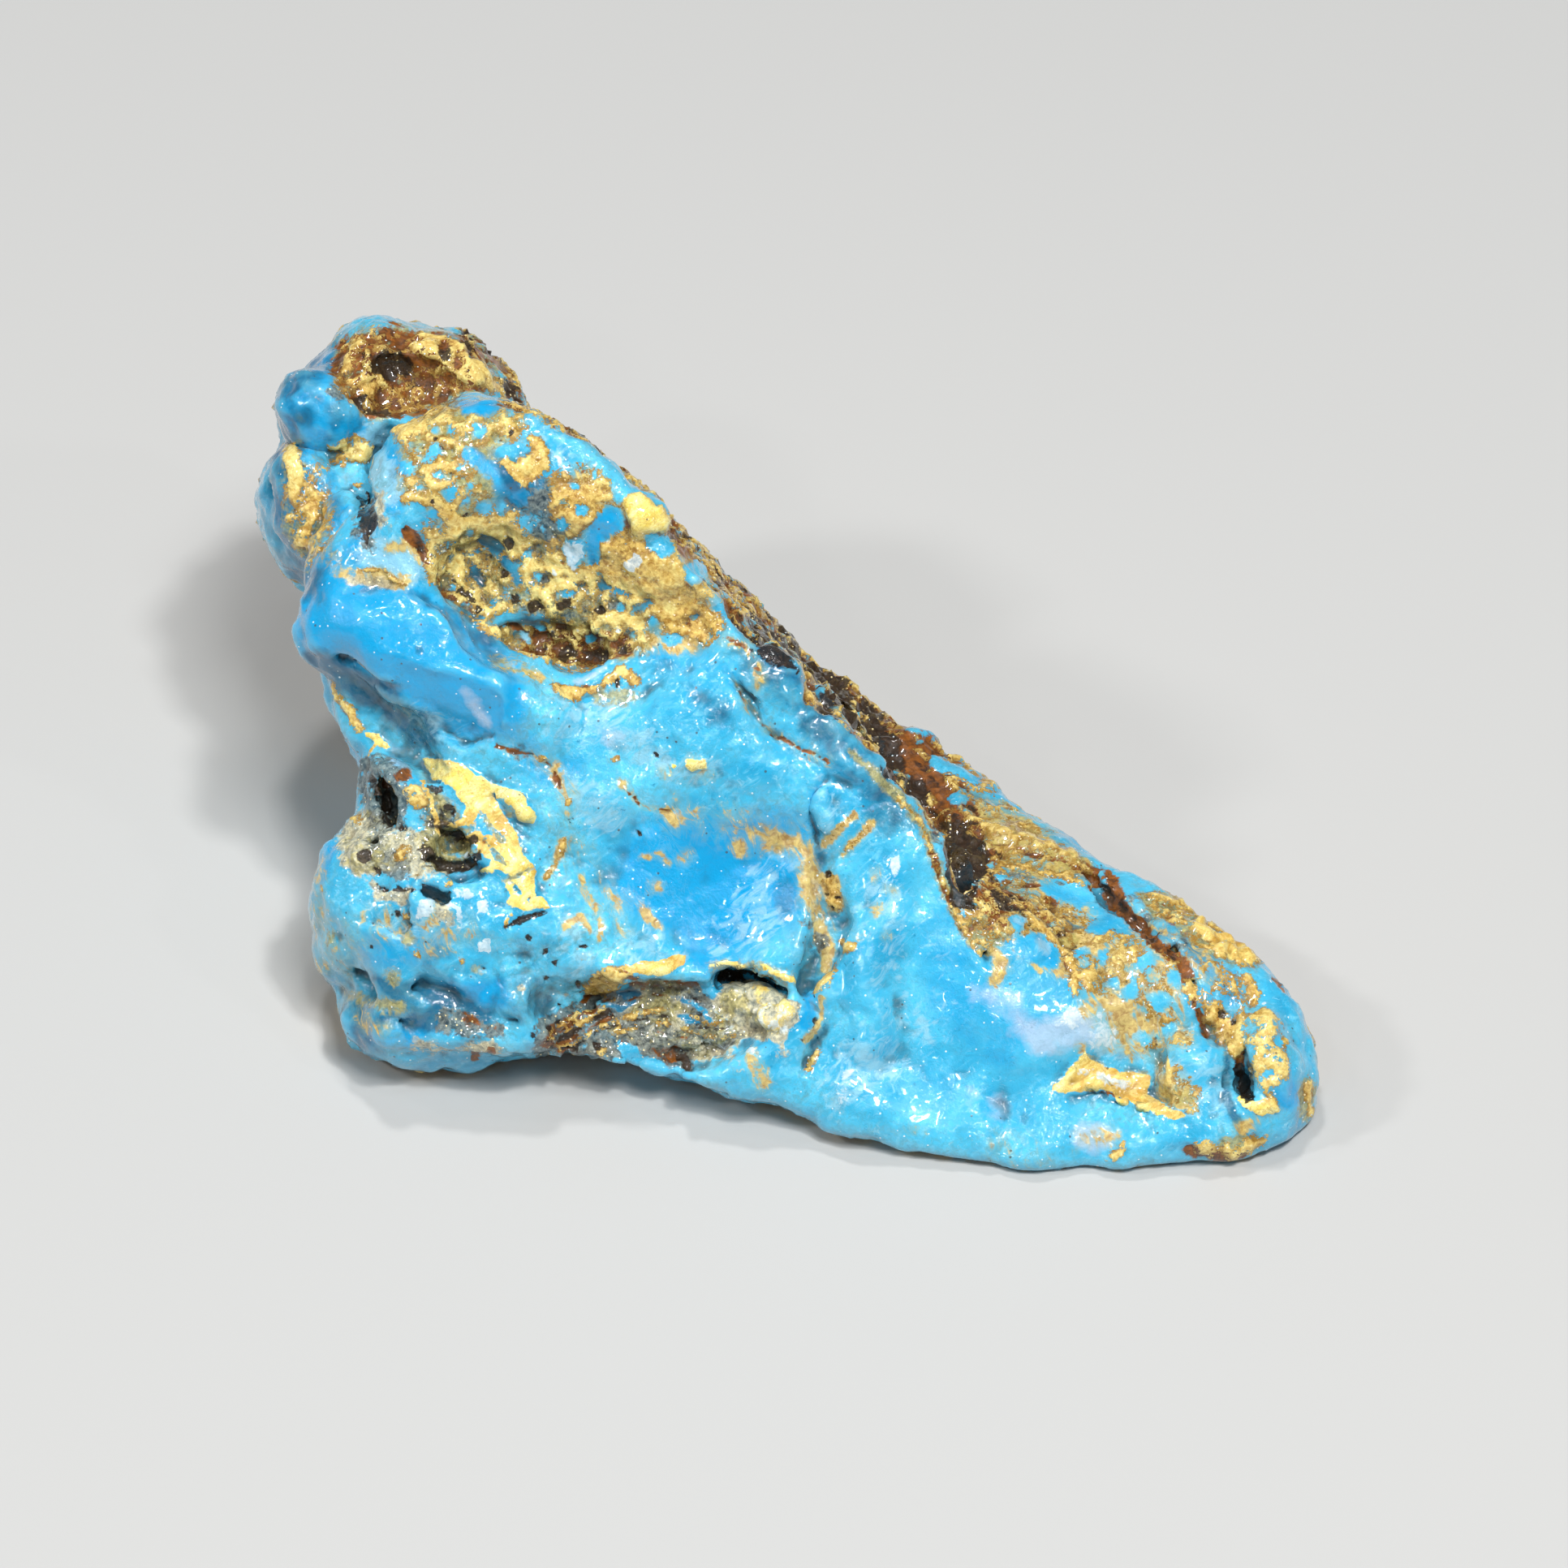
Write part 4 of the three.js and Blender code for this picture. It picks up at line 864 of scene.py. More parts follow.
def paint_flake():
    """A ragged bright plate with a torn arm, orange in its middle."""
    body = [(-20.6, 22.4), (-20.5, 22.8), (-19.0, 22.8), (-17.9, 22.2), (-16.9, 21.4), (-16.2, 20.3),
            (-15.6, 19.0), (-14.8, 17.2), (-14.1, 16.2), (-14.3, 15.0), (-13.8, 14.9), (-13.4, 14.2),
            (-15.2, 14.2), (-16.1, 14.6), (-15.9, 15.4), (-16.5, 16.2), (-17.1, 16.2), (-16.9, 17.0),
            (-17.7, 17.3), (-17.6, 18.0), (-18.8, 18.2), (-17.7, 18.8), (-19.8, 19.1), (-18.4, 19.4),
            (-18.2, 20.2), (-19.0, 21.2), (-20.1, 21.9)]
    arm = [(-17.6, 22.0), (-16.4, 21.4), (-15.0, 20.6), (-14.4, 20.0), (-14.2, 19.2), (-15.2, 19.4),
           (-15.3, 20.1), (-16.7, 20.9)]
    patch(0.2, *body, plate=0.86)
    patch(0.16, *arm, plate=1)
    patch(0.3, *arm, bright=1)
    patch(0.4, (-20.6, 22.9), (-17.6, 22.2), (-16.6, 20.6), (-17.6, 19.6), (-19.2, 21.0), (-20.6, 21.9),
          bright=1)
    stroke(0.5, 0.3, (-20.0, 22.3), (-18.6, 21.9), (-17.4, 21.0), plate=1)
    patch(0.3, (-17.0, 17.8), (-15.2, 18.0), (-13.4, 14.0), (-16.2, 14.0), (-17.2, 16.4), bright=0.7)
    spots(0.3, 0.2, (-15.7, 17.0), (-16.6, 16.2), (-15.0, 15.4), (-14.2, 14.6), bright=1)
    for line in ([(-17.4, 19.6), (-16.2, 18.2)], [(-17.2, 18.2), (-16.0, 16.8)],
                 [(-16.0, 15.9), (-14.8, 16.4)]):
        stroke(0.2, 0.2, *line, olive=0.9)
        stroke(0.14, 0.25, *line, plate=-0.8)
    stroke(0.16, 0.14, (-20.7, 21.5), (-20.2, 20.6), (-19.9, 19.4), (-19.7, 18.4), plate=1)
    stroke(0.12, 0.12, (-15.6, 14.3), (-15.9, 13.3), plate=1)
    spots(0.3, 0.3, (-15.7, 20.0), (-15.5, 17.5), (-16.3, 18.8), (-16.9, 16.4), (-15.2, 15.6), bare=1)
    spots(0.4, 0.3, (-15.7, 20.0), (-15.5, 17.5), (-16.3, 18.8), olive=0.8)
    # painted shadow that the flake casts on the stone at its left
    spots(0.35, 0.3, (-19.4, 20.2), (-19.0, 19.8), (-20.6, 19.4), deep=0.8)
    # dark lines: painted shadow along the flake's left side and under its foot, and a dark gap across it
    for line in ([(-20.1, 21.3), (-19.2, 20.6)], [(-19.0, 20.0), (-18.8, 19.7)],
                 [(-19.5, 18.6), (-17.7, 18.3)], [(-15.9, 13.2), (-15.2, 13.6)],
                 [(-14.8, 13.7), (-13.8, 14.0)]):
        stroke(0.2, 0.25, *line, dark=0.9)
    stroke(0.35, 0.3, (-20.1, 17.2), (-19.2, 16.7), (-18.1, 16.7), (-17.6, 17.2), dark=0.9)
    # a painted glint in the dark hollow
    stroke(0.2, 0.15, (-18.1, 17.3), white=1)
    stroke(0.2, 0.2, (-20.6, 15.6), (-20.0, 15.2), (-19.2, 15.1), dark=0.95)
    stroke(0.3, 0.2, (-12.8, 18.1), (-12.9, 17.4), (-13.6, 15.9), stain=1)
    stroke(0.1, 0.15, (-12.8, 18.1), (-12.9, 17.4), (-13.6, 15.9), gold=0.8)


def paint_flake_cells():
    """Broken cells in the flake."""
    for line in ([(-16.3, 16.5), (-16.0, 16.1)], [(-15.5, 15.7), (-15.2, 15.3)],
                 [(-16.1, 15.3), (-15.9, 14.9)], [(-14.8, 14.9), (-14.6, 14.5)],
                 [(-15.6, 14.2), (-15.3, 13.9)], [(-17.6, 19.3), (-17.0, 18.6)]):
        stroke(0.12, 0.14, *line, plate=-0.9)
        stroke(0.12, 0.16, *line, bare=0.9)
    stroke(0.35, 0.4, (-18.0, 18.9), (-17.2, 17.8), rust=0.5)


def paint_sandy_patch():
    """The knobbly patch of sandy grains, with dark beads and pale chips."""
    sand = [(-25.5, 18.8), (-24.3, 20.3), (-22.9, 19.6), (-21.2, 18.9), (-20.2, 18.0), (-19.2, 17.4),
            (-19.2, 16.0), (-20.6, 15.8), (-22.4, 16.3), (-24.6, 16.2), (-25.5, 17.0)]
    patch(0.4, *sand, sand=0.8, olive=0.3)
    patch(0.3, (-23.8, 15.9), (-23.4, 14.9), (-21.6, 14.3), (-21.2, 15.4), sand=0.85)
    patch(0.3, (-20.0, 14.8), (-19.0, 14.4), (-18.6, 13.2), (-19.8, 13.6), sand=0.8)
    stroke(1.0, 0.7, (-23.2, 17.6), (-22.2, 16.8), dusk=0.7)
    spots(0.4, 0.3, (-21.8, 17.5), (-24.4, 19.4), gold=0.7)
    spots(0.16, 0.15, (-21.0, 16.2), (-19.2, 15.7), (-26.4, 15.5), (-21.6, 13.9), (-20.9, 11.7),
          (-18.4, 11.4), gold=1)
    stroke(0.38, 0.14, (-23.9, 17.3), dark=1)
    for line in ([(-23.4, 16.6), (-22.9, 16.0), (-22.2, 15.6)], [(-23.2, 15.6), (-21.2, 15.2)],
                 [(-20.8, 17.8), (-20.2, 17.3)]):
        stroke(0.16, 0.2, *line, dark=0.9)
    stroke(0.3, 0.2, (-22.9, 15.9), (-22.4, 15.6), bare=1)
    patch(0.2, (-21.1, 14.0), (-20.8, 14.8), (-20.1, 14.8), (-20.0, 14.2), (-20.7, 13.7), white=0.9)
    patch(0.2, (-19.1, 15.4), (-17.9, 15.6), (-17.6, 14.8), (-18.6, 14.7), white=0.7)
    patch(0.12, (-17.6, 14.6), (-17.0, 14.8), (-16.9, 14.1), (-17.5, 14.0), white=0.9)
    patch(0.12, (-17.5, 12.4), (-17.1, 12.8), (-16.7, 12.6), (-16.9, 11.8), (-17.4, 11.9), white=0.9)
    stroke(0.12, 0.14, (-19.2, 14.6), (-18.5, 14.2), (-18.6, 13.3), white=1)


def paint_left_lobe():
    """The speckled blue below the sandy patch."""
    patch(1.0, (-24.4, 14.6), (-16.4, 14.4), (-15.8, 11.8), (-22.6, 11.6), (-26.0, 11.4), stain=0.4)
    patch(1.0, (-24.8, 14.6), (-18.6, 14.0), (-18.0, 12.4), (-22.0, 12.6), pale=0.4)
    # painted shade down the lobe's left edge, where it turns away
    stroke(1.4, 1.4, (-26.6, 12.6), (-25.4, 9.6), (-24.2, 6.8), deep=0.5)
    stroke(1.2, 1.0, (-26.8, 16.6), (-26.4, 12.6), (-25.2, 9.2), stain=0.45)
    # painted shade over the lower lobe and along its foot
    stroke(1.6, 1.2, (-19.0, 10.6), (-16.0, 9.8), deep=0.4)
    stroke(1.4, 1.2, (-23.6, 8.6), (-20.0, 8.0), (-17.0, 7.4), deep=0.4)
    spots(0.45, 0.4, (-25.8, 12.6), (-21.5, 12.5), (-17.5, 10.8), (-22.4, 10.5), olive=0.8)
    spots(0.13, 0.12, (-20.6, 12.4), (-19.6, 13.6), (-22.1, 14.0), (-17.2, 10.9), (-25.0, 14.1),
          (-16.4, 11.8), (-23.6, 12.2), dark=1)
    stroke(0.8, 0.5, (-26.3, 18.0), (-26.5, 16.4), azure=0.9)
    stroke(1.2, 0.8, (-23.0, 12.0), (-19.8, 12.6), azure=0.6)
    patch(0.4, (-20.0, 10.3), (-18.4, 10.2), (-16.0, 10.4), (-15.4, 8.6), (-17.2, 8.8), (-18.6, 9.4),
          azure=0.95)
    patch(0.5, (-24.4, 8.0), (-21.8, 8.6), (-19.8, 7.4), (-21.0, 6.4), (-23.6, 6.6), azure=0.9)


def paint_foot_folds():
    """Folds at the left lobe's foot, dark brown in their depths, with painted shade along the upper one."""
    # painted shade along the fold
    stroke(0.5, 0.5, (-23.6, 10.2), (-22.0, 9.5), (-20.6, 9.9), (-18.9, 9.1), (-17.0, 8.3), deep=0.95)
    stroke(0.35, 0.4, (-24.8, 9.4), (-23.2, 9.0), (-22.0, 8.7), olive=0.9)
    patch(0.4, (-19.6, 9.0), (-17.6, 8.2), (-16.0, 7.6), (-16.0, 6.8), (-17.6, 6.9), (-20.0, 7.3),
          dusk=0.8)
    patch(0.3, (-19.0, 8.8), (-17.4, 8.1), (-16.0, 7.4), (-17.8, 7.0), rust=0.55)
    stroke(0.6, 0.5, (-22.0, 8.4), (-19.8, 7.9), deep=0.8)
    stroke(0.4, 0.4, (-21.0, 6.5), (-18.6, 6.2), (-16.6, 6.4), sand=0.8)
    stroke(0.25, 0.3, (-17.8, 5.9), (-16.8, 6.3), rust=0.8)
    stroke(0.5, 0.5, (-23.8, 7.8), (-22.8, 7.4), stain=0.5)


def paint_shaded_blue():
    """The blue between the left lobe and the middle, with painted shade over it, dark specks and sandy and
    pale spots.
    """
    # painted shade over the swell
    patch(0.7, (-16.0, 13.4), (-12.6, 12.6), (-11.6, 10.4), (-12.6, 8.4), (-15.4, 8.0), (-15.0, 10.6),
          deep=0.4)
    spots(0.15, 0.12, (-13.7, 11.9), (-11.4, 12.2), (-14.6, 12.7), (-13.2, 11.2), (-13.6, 10.3),
          (-13.0, 8.9), dark=1)
    spots(0.22, 0.2, (-11.5, 11.3), (-15.0, 9.8), (-12.5, 9.4), (-11.8, 12.0), sand=0.8)
    spots(0.6, 0.4, (-11.6, 11.2), (-12.2, 13.4), pale=0.7)


def paint_middle():
    stroke(1.4, 1.0, (-12.8, 25.0), (-10.2, 24.6), (-8.0, 23.6), pale=0.5)
    stroke(0.8, 0.8, (-11.6, 24.4), (-9.8, 24.0), lilac=0.35)
    stroke(1.1, 0.8, (-11.4, 20.8), (-10.2, 19.4), pale=0.65)
    stroke(0.5, 0.6, (-15.2, 23.0), (-13.6, 22.2), dusk=0.4)
    stroke(0.5, 0.5, (-15.8, 23.2), (-13.4, 22.6), (-12.4, 21.0), stain=0.5)
    stroke(0.12, 0.15, (-16.5, 23.5), (-14.0, 22.9), (-13.4, 22.3), (-12.7, 21.2), rust=0.8)
    spots(0.16, 0.12, (-13.8, 22.85), (-12.4, 20.4), (-9.6, 22.8), (-12.7, 18.0), gold=1)
    stroke(1.0, 0.9, (-15.6, 24.6), (-13.8, 22.0), (-12.2, 22.2), azure=0.6)
    stroke(0.3, 0.3, (-9.3, 21.4), (-8.2, 20.1), (-6.9, 19.9), (-6.4, 19.2), stain=0.8)
    stroke(0.1, 0.15, (-9.2, 21.3), (-8.2, 20.1), (-6.6, 19.8), rust=0.7)
    spots(0.5, 0.3, (-7.0, 22.0), (-4.5, 21.8), (-9.8, 22.8), (-5.2, 22.6), stain=0.5)
    patch(0.2, (-5.6, 22.9), (-4.6, 22.9), (-4.5, 22.3), (-5.5, 22.2), plate=0.8)
    spots(0.12, 0.12, (-7.2, 22.2), (-6.4, 22.4), (-6.7, 21.9), (-4.2, 21.9), plate=0.8)
    stroke(0.7, 0.4, (-7.2, 22.2), (-4.4, 22.4), bright=1)
    stroke(0.8, 0.8, (-6.6, 22.4), (-4.4, 22.2), pale=0.5)
    for line in ([(-3.5, 29.6), (-2.3, 29.2), (-1.3, 27.5), (-1.5, 26.9)],
                 [(-3.0, 27.2), (-2.2, 25.8), (-1.2, 24.6)], [(-0.9, 24.3), (1.0, 23.4), (2.3, 22.7)]):
        stroke(0.1, 0.16, *line, rust=0.85)
        stroke(0.35, 0.4, *line, stain=0.5)
    stroke(0.6, 0.6, (-3.6, 31.2), (0.5, 27.5), (2.6, 25.4), azure=0.7)
    # painted shade along the crest, where it turns away
    stroke(1.4, 1.2, (-1.6, 28.4), (1.4, 25.6), (4.0, 22.6), (5.6, 20.4), deep=0.5)
    stroke(0.9, 0.8, (-7.6, 29.0), (-3.8, 27.4), azure=0.5)
    stroke(0.8, 0.9, (-6.4, 27.6), (-3.6, 25.0), deep=0.35)


def paint_basin():
    """The basin, with golden streaks over it and a feathery patch in it."""
    stroke(1.1, 1.0, (-6.0, 19.4), (-2.8, 19.0), (0.4, 18.2), stain=0.5)
    stroke(0.3, 0.4, (-2.0, 18.6), (0.4, 18.3), (1.2, 17.6), (1.5, 16.6), stain=0.8)
    stroke(3.4, 1.6, (-6.4, 16.6), (-3.4, 14.6), (-1.2, 16.6), azure=1)
    stroke(0.9, 0.6, (-4.6, 12.6), (-4.6, 11.4), azure=1)
    patch(1.2, (-4.2, 11.6), (-3.6, 14.0), (-2.8, 15.4), (-1.2, 16.0), (-0.6, 13.4), (-0.8, 11.8),
          pale=0.62)
    stroke(0.5, 0.6, (-1.6, 16.2), (0.0, 16.8), pale=0.5)
    stroke(0.7, 0.8, (-0.4, 15.6), (0.6, 13.6), (0.4, 12.0), deep=0.4)
    spots(0.5, 0.4, (-5.6, 17.2), (-2.6, 17.8), (-0.4, 17.6), (-7.4, 15.6), stain=0.7)
    stroke(0.6, 0.5, (1.2, 16.4), (1.4, 14.6), (2.0, 12.8), stain=0.8)
    stroke(0.3, 0.4, (1.6, 16.0), (1.5, 14.2), (2.0, 13.0), sand=0.4)
    stroke(0.5, 0.5, (1.2, 13.4), (1.9, 12.2), dusk=0.5)
    stroke(0.6, 0.25, (2.5, 15.8), (2.8, 14.6), stain=1)
    stroke(0.4, 0.25, (2.5, 15.8), (2.8, 14.6), gold=0.8)
    spots(0.16, 0.12, (2.2, 15.2), (2.9, 15.0), (2.6, 14.3), (2.4, 16.2), dark=1)
    stroke(0.5, 0.4, (2.2, 21.4), (2.4, 19.8), (2.2, 18.0), pale=0.5)
    stroke(0.1, 0.16, (1.6, 20.6), (1.5, 19.0), (2.0, 17.4), (2.2, 16.0), dark=0.85)
    for line in ([(2.2, 18.0), (2.9, 18.7), (3.8, 19.6)], [(3.2, 17.3), (3.9, 18.1), (4.7, 19.2)]):
        stroke(0.3, 0.2, *line, stain=1)
        stroke(0.1, 0.2, *line, gold=0.6)


def paint_faint_strands():
    """Fainter golden strands left of the basin."""
    for line in ([(-11.7, 16.0), (-11.3, 15.0), (-10.5, 13.4), (-10.6, 12.6)],
                 [(-8.0, 14.0), (-7.3, 13.2)], [(-12.6, 13.2), (-11.8, 13.8), (-11.2, 13.0)],
                 [(-8.2, 17.2), (-7.2, 17.4), (-6.6, 16.9)]):
        stroke(0.22, 0.22, *line, stain=0.95)
    stroke(1.0, 0.9, (-11.8, 12.4), (-10.2, 11.8), (-8.0, 12.0), pale=0.6)
    stroke(1.4, 1.2, (-12.4, 18.6), (-9.4, 13.6), stain=0.28)
    spots(0.12, 0.1, (-8.4, 18.6), (-10.2, 22.4), (-7.4, 23.0), (-12.2, 19.4), (-11.8, 12.2), dark=1)


def paint_shelf():
    """The shelf over the layered hollow, golden and folded at its left end."""
    shelf = [(-9.4, 11.1), (-6.9, 11.3), (-6.2, 11.8), (-5.6, 11.7), (-5.7, 11.2), (-6.5, 10.8),
             (-7.2, 10.5), (-9.2, 10.8)]
    patch(0.14, *shelf, plate=1)
    patch(0.2, (-9.4, 11.0), (-7.4, 11.1), (-7.6, 10.8), (-9.0, 10.7), olive=0.8)
    stroke(0.25, 0.3, (-8.0, 10.9), (-7.0, 10.9), bright=0.8)
    stroke(0.3, 0.2, (-6.2, 11.5), (-5.8, 11.6), pale=1)
    patch(0.2, (-9.2, 11.0), (-10.2, 11.0), (-11.6, 10.1), (-11.6, 9.4), (-10.2, 9.6), (-8.8, 10.5),
          gold=0.95)
    patch(0.3, (-9.4, 11.0), (-11.4, 10.0), (-11.0, 9.4), (-9.2, 10.2), olive=0.7)
    stroke(0.16, 0.15, (-11.8, 10.3), (-11.7, 9.9), dark=1)
    for drop in (0.0, 0.35, 0.7):
        stroke(0.05, 0.12, (-11.5, 10.0 - drop), (-10.2, 10.6 - drop), (-8.9, 10.8 - drop), gold=-0.8)
        stroke(0.1, 0.14, (-11.5, 10.0 - drop), (-10.2, 10.6 - drop), (-8.9, 10.8 - drop), rust=0.8)


def paint_swept_strands():
    """Strands that sweep down to the left of the layered hollow."""
    patch(0.4, (-9.6, 10.0), (-12.0, 9.0), (-14.4, 7.8), (-14.4, 6.0), (-9.4, 5.8), (-9.0, 8.4),
          dusk=0.85)
    for shift, layer, radius in ((0.9, "rust", 0.14), (0.55, "gold", 0.12), (0.2, "rust", 0.16),
                                 (-0.2, "gold", 0.1), (-0.55, "dark", 0.14), (-0.95, "rust", 0.14),
                                 (-1.3, "gold", 0.08), (-1.6, "dark", 0.14)):
        stroke(radius, 0.2, (-13.4, 7.0 + 0.6 * shift), (-12.2, 7.6 + 0.8 * shift), (-11.0, 8.5 + shift),
               (-9.8, 9.3 + shift), **{layer: 0.85})
    stroke(0.3, 0.25, (-9.8, 9.2), (-8.8, 9.6), (-8.1, 9.3), deep=0.95)


def paint_cream_layers():
    """Crumbly cream layers parted by dark lines."""
    layers = [(-9.2, 10.4), (-7.0, 10.4), (-5.0, 9.9), (-4.0, 9.0), (-3.6, 8.0), (-2.2, 7.5), (-2.6, 6.6),
              (-3.6, 5.9), (-5.6, 5.8), (-8.8, 6.0), (-10.2, 7.4), (-10.0, 8.2), (-9.2, 8.8), (-8.0, 9.4)]
    patch(0.3, *layers, sand=0.85, dusk=0.8, olive=0.35)
    patch(0.25, (-9.2, 10.5), (-6.0, 10.4), (-5.0, 10.0), (-6.8, 9.6), (-9.0, 9.9), rust=0.5)
    for height, layer, radius in ((9.6, "dark", 0.1), (9.2, "rust", 0.12), (8.75, "dark", 0.12),
                                  (8.4, "gold", 0.12), (8.05, "dark", 0.13), (7.6, "gold", 0.1),
                                  (7.1, "rust", 0.1), (6.7, "sand", 0.2)):
        stroke(radius, 0.16, (-9.9, height - 0.5), (-8.6, height), (-7.2, height + 0.15),
               (-6.0, height - 0.05), (-4.8, height - 0.5), (-3.0, height - 0.6), **{layer: 0.6})
    for line in ([(-6.6, 9.3), (-5.4, 9.0), (-4.3, 8.0)], [(-10.6, 9.0), (-9.4, 8.6), (-8.6, 8.9)],
                 [(-6.2, 8.2), (-5.0, 7.8)]):
        stroke(0.16, 0.2, *line, bare=0.9)
        stroke(0.3, 0.2, *line, deep=0.6)
    spots(0.4, 0.5, (-3.2, 5.9), (-1.8, 6.1), (-0.2, 6.2), (-2.6, 5.2), sand=0.6)
    stroke(0.35, 0.3, (-9.3, 6.5), (-8.9, 6.2), bare=1)
    patch(0.3, (-8.2, 6.3), (-6.8, 6.6), (-5.6, 6.3), (-5.3, 5.2), (-6.4, 5.2), dusk=0.8, rust=0.4)
    stroke(0.3, 0.3, (-5.9, 5.9), (-5.6, 5.4), dark=0.9)
    stroke(0.5, 0.4, (-13.6, 6.7), (-12.6, 6.2), rust=0.6)
    stroke(0.5, 0.4, (-13.4, 6.9), (-12.4, 6.3), (-10.6, 6.4), sand=0.6)
    spots(0.2, 0.15, (-13.0, 7.9), (-13.5, 7.4), (-14.4, 7.2), (-10.6, 6.4), dark=1)
    spots(0.16, 0.12, (-12.8, 7.7), (-8.7, 8.2), (-9.7, 7.6), (-10.5, 6.2), (-6.8, 7.8), gold=1)
    stroke(0.4, 0.4, (-4.8, 6.9), (-3.4, 6.3), white=0.5)


def paint_arch():
    """The arch, its lip, the painted shadow under the lip, and what fills it."""
    infill = [(-4.2, 9.0), (-3.6, 10.0), (-2.6, 10.3), (-1.6, 10.3), (-0.6, 9.5), (0.6, 8.9), (0.6, 8.0),
              (-0.2, 6.7), (-1.6, 6.8), (-2.6, 7.2), (-3.4, 8.0)]
    patch(0.3, *infill, sand=1)
    for layer in ("rust", "dark", "dusk", "gold"):
        patch(0.2, *infill, **{layer: -1})
    patch(0.4, (-1.8, 9.0), (0.5, 8.8), (0.3, 7.4), (-0.6, 7.0), (-1.6, 7.4), white=0.45)
    patch(0.4, (-1.8, 9.8), (0.5, 8.9), (0.4, 7.6), (-0.8, 7.0), (-2.0, 7.6), plate=0.55, bright=0.6)
    spots(0.35, 0.3, (-3.2, 9.2), (-2.6, 9.0), (-2.2, 8.2), (-3.4, 8.4), olive=0.6)
    for foot in (-3.7, -3.0, -2.2, -1.3, -0.4):
        stroke(0.1, 0.15, (0.7 * foot - 0.9, 9.9), (foot - 0.1, 8.6), (foot, 7.2), olive=0.8)
    # painted shadow under the arch's lip
    patch(0.3, (-4.2, 10.2), (-3.4, 10.9), (-2.6, 11.0), (-1.8, 10.9), (-0.9, 10.4), (-0.4, 9.9),
          (-1.7, 10.2), (-2.6, 10.4), (-3.4, 10.2), dark=0.9, reach=12)
    lip = [(-4.3, 10.95), (-3.2, 11.2), (-2.0, 11.2), (-1.2, 11.0), (-0.4, 10.6), (0.3, 10.3)]
    stroke(0.12, 0.15, *lip, plate=1)
    stroke(0.3, 0.2, *lip, bright=0.6)
    stroke(0.3, 0.3, *lip, olive=0.6)
    spots(0.3, 0.25, (0.1, 7.2), (-2.0, 6.2), (-3.4, 5.9), white=0.6)


def paint_seam():
    """The seam on the arch's right."""
    stroke(0.35, 0.2, (1.2, 9.1), (1.3, 8.4), (1.0, 7.8), bare=1)
    stroke(0.4, 0.2, (1.2, 9.1), (1.3, 8.4), (1.0, 7.8), azure=1)
    stroke(0.22, 0.2, (2.1, 9.2), (2.05, 8.2), (1.6, 7.4), (1.1, 6.9), stain=1)
    stroke(0.12, 0.15, (1.7, 9.3), (1.8, 8.4), (1.4, 7.4), (0.9, 6.7), dark=0.7)
    stroke(0.16, 0.15, (1.7, 6.2), (1.2, 5.2), gold=1)
    stroke(0.5, 0.4, (-1.8, 5.7), (-1.3, 4.4), stain=0.8)
    stroke(0.2, 0.15, (3.8, 12.2), (3.1, 11.8), (2.7, 10.8), (2.2, 10.0), (1.7, 9.6), gold=1)
    patch(0.15, (2.9, 12.6), (4.0, 12.2), (3.4, 11.8), gold=1)
    stroke(0.4, 0.25, (2.4, 12.0), (2.2, 10.8), stain=1)


def paint_right_face():
    patch(0.3, (5.7, 16.6), (5.9, 17.2), (6.4, 17.6), (6.7, 16.9), (6.5, 16.4), (6.1, 16.0), white=0.8)
    stroke(0.25, 0.25, (3.2, 16.7), white=0.6)
    spots(0.45, 0.35, (5.0, 16.3), (5.2, 14.2), (5.6, 12.8), (3.9, 12.8), (6.0, 15.4), stain=0.6)
    stroke(0.14, 0.25, (5.8, 12.0), (6.7, 9.5), (7.7, 8.0), (8.2, 6.8), pale=0.6)
    stroke(3.0, 2.4, (5.0, 14.0), (6.2, 8.0), pale=0.25)
    stroke(2.0, 1.6, (9.4, 13.0), (9.0, 9.6), (12.6, 7.4), azure=0.5)
    stroke(1.1, 1.0, (11.4, 9.4), (13.2, 8.4), lilac=0.55)
    stroke(0.9, 0.9, (10.8, 3.6), (12.0, 3.2), lilac=0.4)
    stroke(0.5, 0.5, (3.6, 5.0), (3.3, 3.4), white=0.45)
    stroke(1.2, 1.0, (4.4, 5.4), (3.0, 4.0), pale=0.5)
    stroke(1.0, 0.6, (14.6, 6.8), (16.6, 7.4), lilac=0.9)
    patch(0.5, (15.2, 7.7), (15.6, 9.0), (16.7, 8.8), (16.8, 8.0), (16.2, 7.5), white=0.75)
    stroke(1.1, 0.8, (12.6, 0.6), (15.0, 0.4), stain=0.4)
    stroke(0.35, 0.4, (7.0, 1.9), (7.8, 1.7), stain=0.6)


def paint_crest():
    """The golden rim that runs down from the ridge, round the foot of the hole."""
    stroke(0.28, 0.25, (3.8, 23.1), (5.8, 21.2), (6.4, 20.6), olive=0.9)
    # painted shade along the crest, where it turns away
    stroke(1.0, 1.0, (-2.6, 30.2), (1.0, 27.0), (4.4, 22.6), (6.8, 18.6), deep=0.4)
    rim = [(6.4, 20.6), (7.7, 19.0), (8.2, 17.4), (8.9, 15.8), (9.6, 14.1), (10.1, 13.0), (11.0, 11.8)]
    stroke(0.1, 0.2, *rim, gold=0.85)
    stroke(0.3, 0.25, *rim, olive=0.8)
    stroke(0.2, 0.25, *rim[2:], rust=0.5)
    stroke(0.14, 0.15, (7.9, 18.6), (8.4, 17.2), (9.0, 15.4), (9.4, 14.6), rust=0.9)
    stroke(0.35, 0.25, (8.3, 19.0), (8.6, 18.0), dusk=0.6)
    # painted shade in the hole in the crest
    patch(0.3, (8.8, 18.0), (9.6, 18.8), (11.2, 18.4), (11.6, 17.2), (11.0, 15.8), (10.6, 14.4),
          (9.5, 14.4), (9.0, 16.2), dark=1, reach=20)


